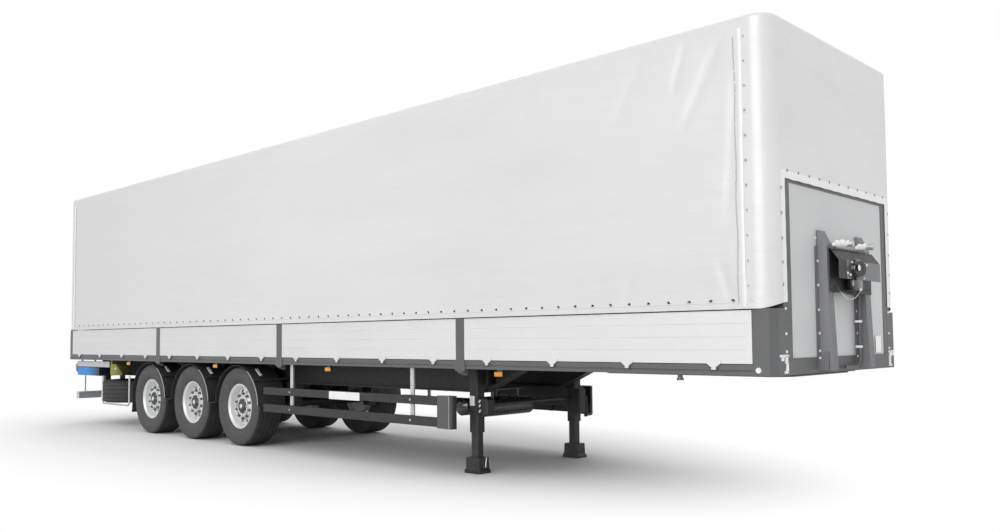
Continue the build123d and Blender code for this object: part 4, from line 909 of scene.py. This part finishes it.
def makeConsoleFittings():
    pieceOf("consolePanel", "panelDark", (boxInto, *console["panel"], 0.001, 1))
    pieceOf("socketHousing", "black", *[(barInto, *bar) for bar in console["housing"]],
            (boxInto, *console["socketBox"], 0.006))
    # White disc at the socket's centre: painted highlight.
    pieceOf("socketHighlight", "plate", (barInto, *console["lid"]))
    palms, holders = [], []
    for y, z in front["palms"]:
        palms += [(lumpInto, (out, y + shift, z), radius) for out, radius, shift in console["lumps"]]
        palms.append((barInto, (6.770, y - 0.060, z - 0.012), (6.890, y + 0.055, z - 0.012), 0.017, 14))
        holders.append((boxInto, (6.762, y - 0.055, z - 0.060), (6.768, y + 0.055, z + 0.008), 0.002, 1))
    pieceOf("palmCovers", "white", *palms)
    pieceOf("palmBracket", "capGrey", *holders, (barInto, (6.775, -0.470, 2.165), (6.775, 0.300, 2.165), 0.010, 12))


makeFrontFittings()
makeConsoleFittings()


def makeCord(name, points, radius, finish):
    curve = bpy.data.curves.new(name, "CURVE")
    curve.dimensions = "3D"
    curve.bevel_depth = radius
    curve.bevel_resolution = 3
    spline = curve.splines.new("NURBS")
    spline.points.add(len(points) - 1)
    for point, place in zip(spline.points, points):
        point.co = (*place, 1.0)
    spline.order_u = 3
    spline.use_endpoint_u = True
    spline.resolution_u = 12
    cord = placed(name, curve)
    curve.materials.append(everyFinish[finish])
    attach(cord, "chassis")
    return cord


# Route points, radius and finish of the two cables that hang between the console and its sockets
cables = dict(
    brakeCable=([(6.775, -0.400, 1.880), (6.800, -0.400, 1.835), (6.806, -0.330, 1.808), (6.806, -0.230, 1.790),
                 (6.804, -0.120, 1.783), (6.800, -0.010, 1.783), (6.800, 0.050, 1.794), (6.800, 0.082, 1.826)],
                0.0065, "hose"),
    lightCable=([(6.775, -0.300, 1.830), (6.802, -0.300, 1.795), (6.808, -0.240, 1.758), (6.808, -0.150, 1.738),
                 (6.806, -0.050, 1.748), (6.800, 0.050, 1.775), (6.800, 0.110, 1.826)], 0.0060, "pale"),
)


def makeCables():
    for name, (points, radius, finish) in cables.items():
        cord = makeCord(name, points, radius, finish)
        bpy.context.view_layer.update()


makeCables()
print("front fittings made")

guard = dict(
    postXs=(0.0325, 2.3645), sleeveHalf=0.0275, sleeveYs=(1.1635, 1.1885), sleeveZs=((0.602, 0.725), (0.822, 1.1215)),
    boltZs=(0.550, 0.7735), face=1.2155, plate=((0.875, -1.2180, 0.722), (1.471, -1.2155, 0.816)),
    capXs=(2.7995, 3.0275), capZs=(0.486, 0.834), capRound=0.046,
)


def makeGuardFittings(side, way):
    half, (near, out) = guard["sleeveHalf"], guard["sleeveYs"]
    sleeves = [(sideBoxInto, way, (x - half, near, low), (x + half, out, high), 0.002, 1)
               for x in guard["postXs"] for low, high in guard["sleeveZs"]]
    bolts = [(boltInto, (x, way * 1.2152, z), (0, way, 0), 0.010, 0.008)
             for x in guard["postXs"] for z in guard["boltZs"]]
    pieceOf("guardSleeves_" + side, "galvanised", *sleeves, *bolts)
    if way < 0:
        pieceOf("guardPlate", "plate", (boxInto, *guard["plate"], 0.0008, 1))
    (start, end), (low, high), y = guard["capXs"], guard["capZs"], way * guard["face"]
    end -= guard["capRound"]
    pieceOf("guardCapFace_" + side, "capGrey",
            (sideBoxInto, way, (start + 0.006, 1.2152, low + 0.008), (end, 1.2166, high - 0.008)))
    pieceOf("guardCapEdges_" + side, "pale",
            (barInto, (end + 0.0015, y, low + 0.004), (end + 0.0015, y, high - 0.004), 0.0035, 8),
            *[(barInto, (start + 0.004, y, z), (end, y, z), 0.004, 8) for z in guard["capZs"]])


# The gearbox's small parts, and both ends of the foot's pale edge as seen from the front
leg = dict(
    cap=((2.985, -0.9130, 0.716), (3.052, -0.8915, 0.822)), slot=((2.993, -0.9200, 0.744), (3.044, -0.9128, 0.768)),
    boltX=3.125, boltZs=(0.770, 0.722, 0.664), boltBack=(0.010, 0.0, 0.012), boltAhead=(0.010, -0.006, 0.010),
    footEdge=((4.0, -0.790, 0.165), (4.0, -0.812, 0.060)),
)


def makeLegFittings():
    back, ahead = Vector(leg["boltBack"]), Vector(leg["boltAhead"])
    spots = [spot for z in leg["boltZs"] for spot in struck("landing_leg_right", (leg["boltX"], -2.0, z), (0, 1, 0))]
    pieceOf("legBoltsRight", "plate", (boxInto, *leg["cap"], 0.006), (boxInto, *leg["slot"], 0.003, 1),
            *[(barInto, spot - back, spot + ahead, 0.009, 10) for spot in spots])
    ends = [spot for start in leg["footEdge"] for spot in struck("landing_leg_right", start, (-1, 0, 0))]
    pieceOf("footEdges", "silver", (barInto, *ends, 0.0055, 8))


# A pale tube along the rolled edge outside each mudguard, a painted highlight on its lip, and two straps over it
mudguard = dict(edgeY=1.2365, edgeRadius=0.5625, strapYs=(1.10, 1.078), strapRadius=0.582, strapFrom=61, strapTo=47)


def makeMudguardTrim(side, way):
    edges, straps = [], []
    for x in axles["xs"]:
        edges.append((tubeInto, [ringPoint(x, way * mudguard["edgeY"], mudguard["edgeRadius"], degrees)
                                 for degrees in range(4, 60, 5)], 0.0050))
        for y in mudguard["strapYs"]:
            ends = [ringPoint(x, way * y, mudguard["strapRadius"], mudguard[end]) for end in ("strapFrom", "strapTo")]
            straps.append((barInto, *ends, 0.011, 10))
    # The pale tube on the rolled lip is a painted highlight.
    pieceOf("mudguardEdgeHighlight_" + side, "pale", *edges)
    pieceOf("mudguardStraps_" + side, "plate", *straps)


rear = dict(
    shell=((-6.7840, 0.429), (-6.6810, 0.551)), strapYs=(-1.02, -0.60, 0.60, 1.02),
    tube=((-4.820, -1.100, 0.870), (-4.820, -1.100, 0.420), (-4.870, -1.100, 0.378), (-5.820, -1.100, 0.378),
          (-5.870, -1.100, 0.420), (-5.870, -1.100, 0.845)),
    palePlates=(((-6.690, -1.2045, 1.004), (-5.360, -1.2015, 1.100)),
                ((-6.690, -1.2045, 1.097), (-5.360, -1.150, 1.100))),
    knob=((-5.140, -1.191, 0.985), (-5.140, -1.200, 0.985)),
    farBox=((1.620, 0.820, 0.612), (2.940, 1.150, 0.842)), farFoot=((2.050, 0.845, 0.490), (2.120, 0.865, 0.612)),
)


def makeRearFittings():
    low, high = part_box("rear_underrun")
    (startX, startZ), (endX, endZ) = rear["shell"]
    pieceOf("rearGalvanised", "galvanised",
            (boxInto, (startX, low.y - 0.0012, startZ), (endX, high.y + 0.0012, endZ), 0.003, 1),
            *[(boxInto, (-6.8000, y - 0.012, 0.440), (-6.7850, y + 0.012, 0.860), 0.003, 1) for y in rear["strapYs"]],
            (tubeInto, rear["tube"], 0.014))
    pieceOf("rearPalePlate", "pale", *[(boxInto, *corners, 0.001, 1) for corners in rear["palePlates"]])
    pieceOf("chockKnob", "plate", (barInto, *rear["knob"], 0.020, 16))
    pieceOf("farSideBox", "black_plastic", (boxInto, *rear["farBox"], 0.012), (boxInto, *rear["farFoot"], 0.003, 1))


for side, way in sides.items():
    makeGuardFittings(side, way)
    makeMudguardTrim(side, way)
makeLegFittings()
makeRearFittings()
print("side and rear fittings made")


# Studio: pale floor that keeps the shadow, white beyond it, and soft plain light.
studio = dict(
    worldLevel=0.62, floorCode="F7F7F7", floorHalf=90.0, floorSunk=0.0015, fade=(2.65, 4.3),
    # level, direction and spread of each lamp; the gleam lights glossy rays alone
    lamps=(("key", 0.95, (0.40, -1.0, 0.70), 1.0), ("top", 0.55, (0.05, 0.1, 1.0), 1.3),
           ("gleam", 3.0, (0.115, -0.960, 0.21), 0.80)),
)


def makeStudio():
    world = bpy.data.worlds.new("studio")
    bpy.context.scene.world = world
    world.use_nodes = True
    tree = world.node_tree
    tree.nodes.clear()
    paths = newNode(tree, "LightPath").outputs
    shown = reckoned(tree, "ADD", paths["Is Camera Ray"], paths["Is Glossy Ray"])
    shown = reckoned(tree, "ADD", shown, paths["Is Transmission Ray"])
    share = ranged(tree, shown, 0.0, 1.0, studio["worldLevel"], 1.0)
    background = newNode(tree, "Background", Color=(1, 1, 1, 1), Strength=share)
    newNode(tree, "OutputWorld", Surface=background.outputs[0])
    for name, level, way, spread in studio["lamps"]:
        lamp = bpy.data.lights.new(name, "SUN")
        lamp.energy = level
        lamp.angle = spread
        holder = placed(name, lamp)
        holder.rotation_mode = "QUATERNION"
        holder.rotation_quaternion = Vector(way).to_track_quat("Z", "Y")
        holder.visible_diffuse = name != "gleam"

    bm = bmesh.new()
    bmesh.ops.create_grid(bm, x_segments=4, y_segments=4, size=studio["floorHalf"])
    bmesh.ops.translate(bm, vec=(0, 0, -studio["floorSunk"]), verts=bm.verts)
    floor = placed("studioFloor", meshFrom(bm, "studioFloor"))
    material, tree, shader = newMaterial("floorPaint", 0.9)
    shader.inputs["Specular IOR Level"].default_value = 0.1
    tone = shaded(tree, ranged(tree, cloudy(tree, 0.4, 2.0)), studio["floorCode"], 0.995, 1.0)
    feed(tree, shader.inputs["Base Color"], tone)
    reach = newNode(tree, "VectorMath", Vector=coordinates(tree, (0.50, 1.0, 0.0), (0.95, 0.0, 0.0)))
    reach.operation = "LENGTH"
    far = ranged(tree, reach.outputs["Value"], *studio["fade"])
    share = reckoned(tree, "MULTIPLY", far, newNode(tree, "LightPath").outputs["Is Camera Ray"])
    glow = newNode(tree, "Emission", Color=(1, 1, 1, 1))
    both = newNode(tree, "MixShader")
    for socket, value in zip(both.inputs, (share, shader.outputs[0], glow.outputs[0])):
        feed(tree, socket, value)
    feed(tree, tree.nodes["Material Output"].inputs["Surface"], both.outputs[0])
    floor.data.materials.append(material)


makeStudio()
print("studio made")
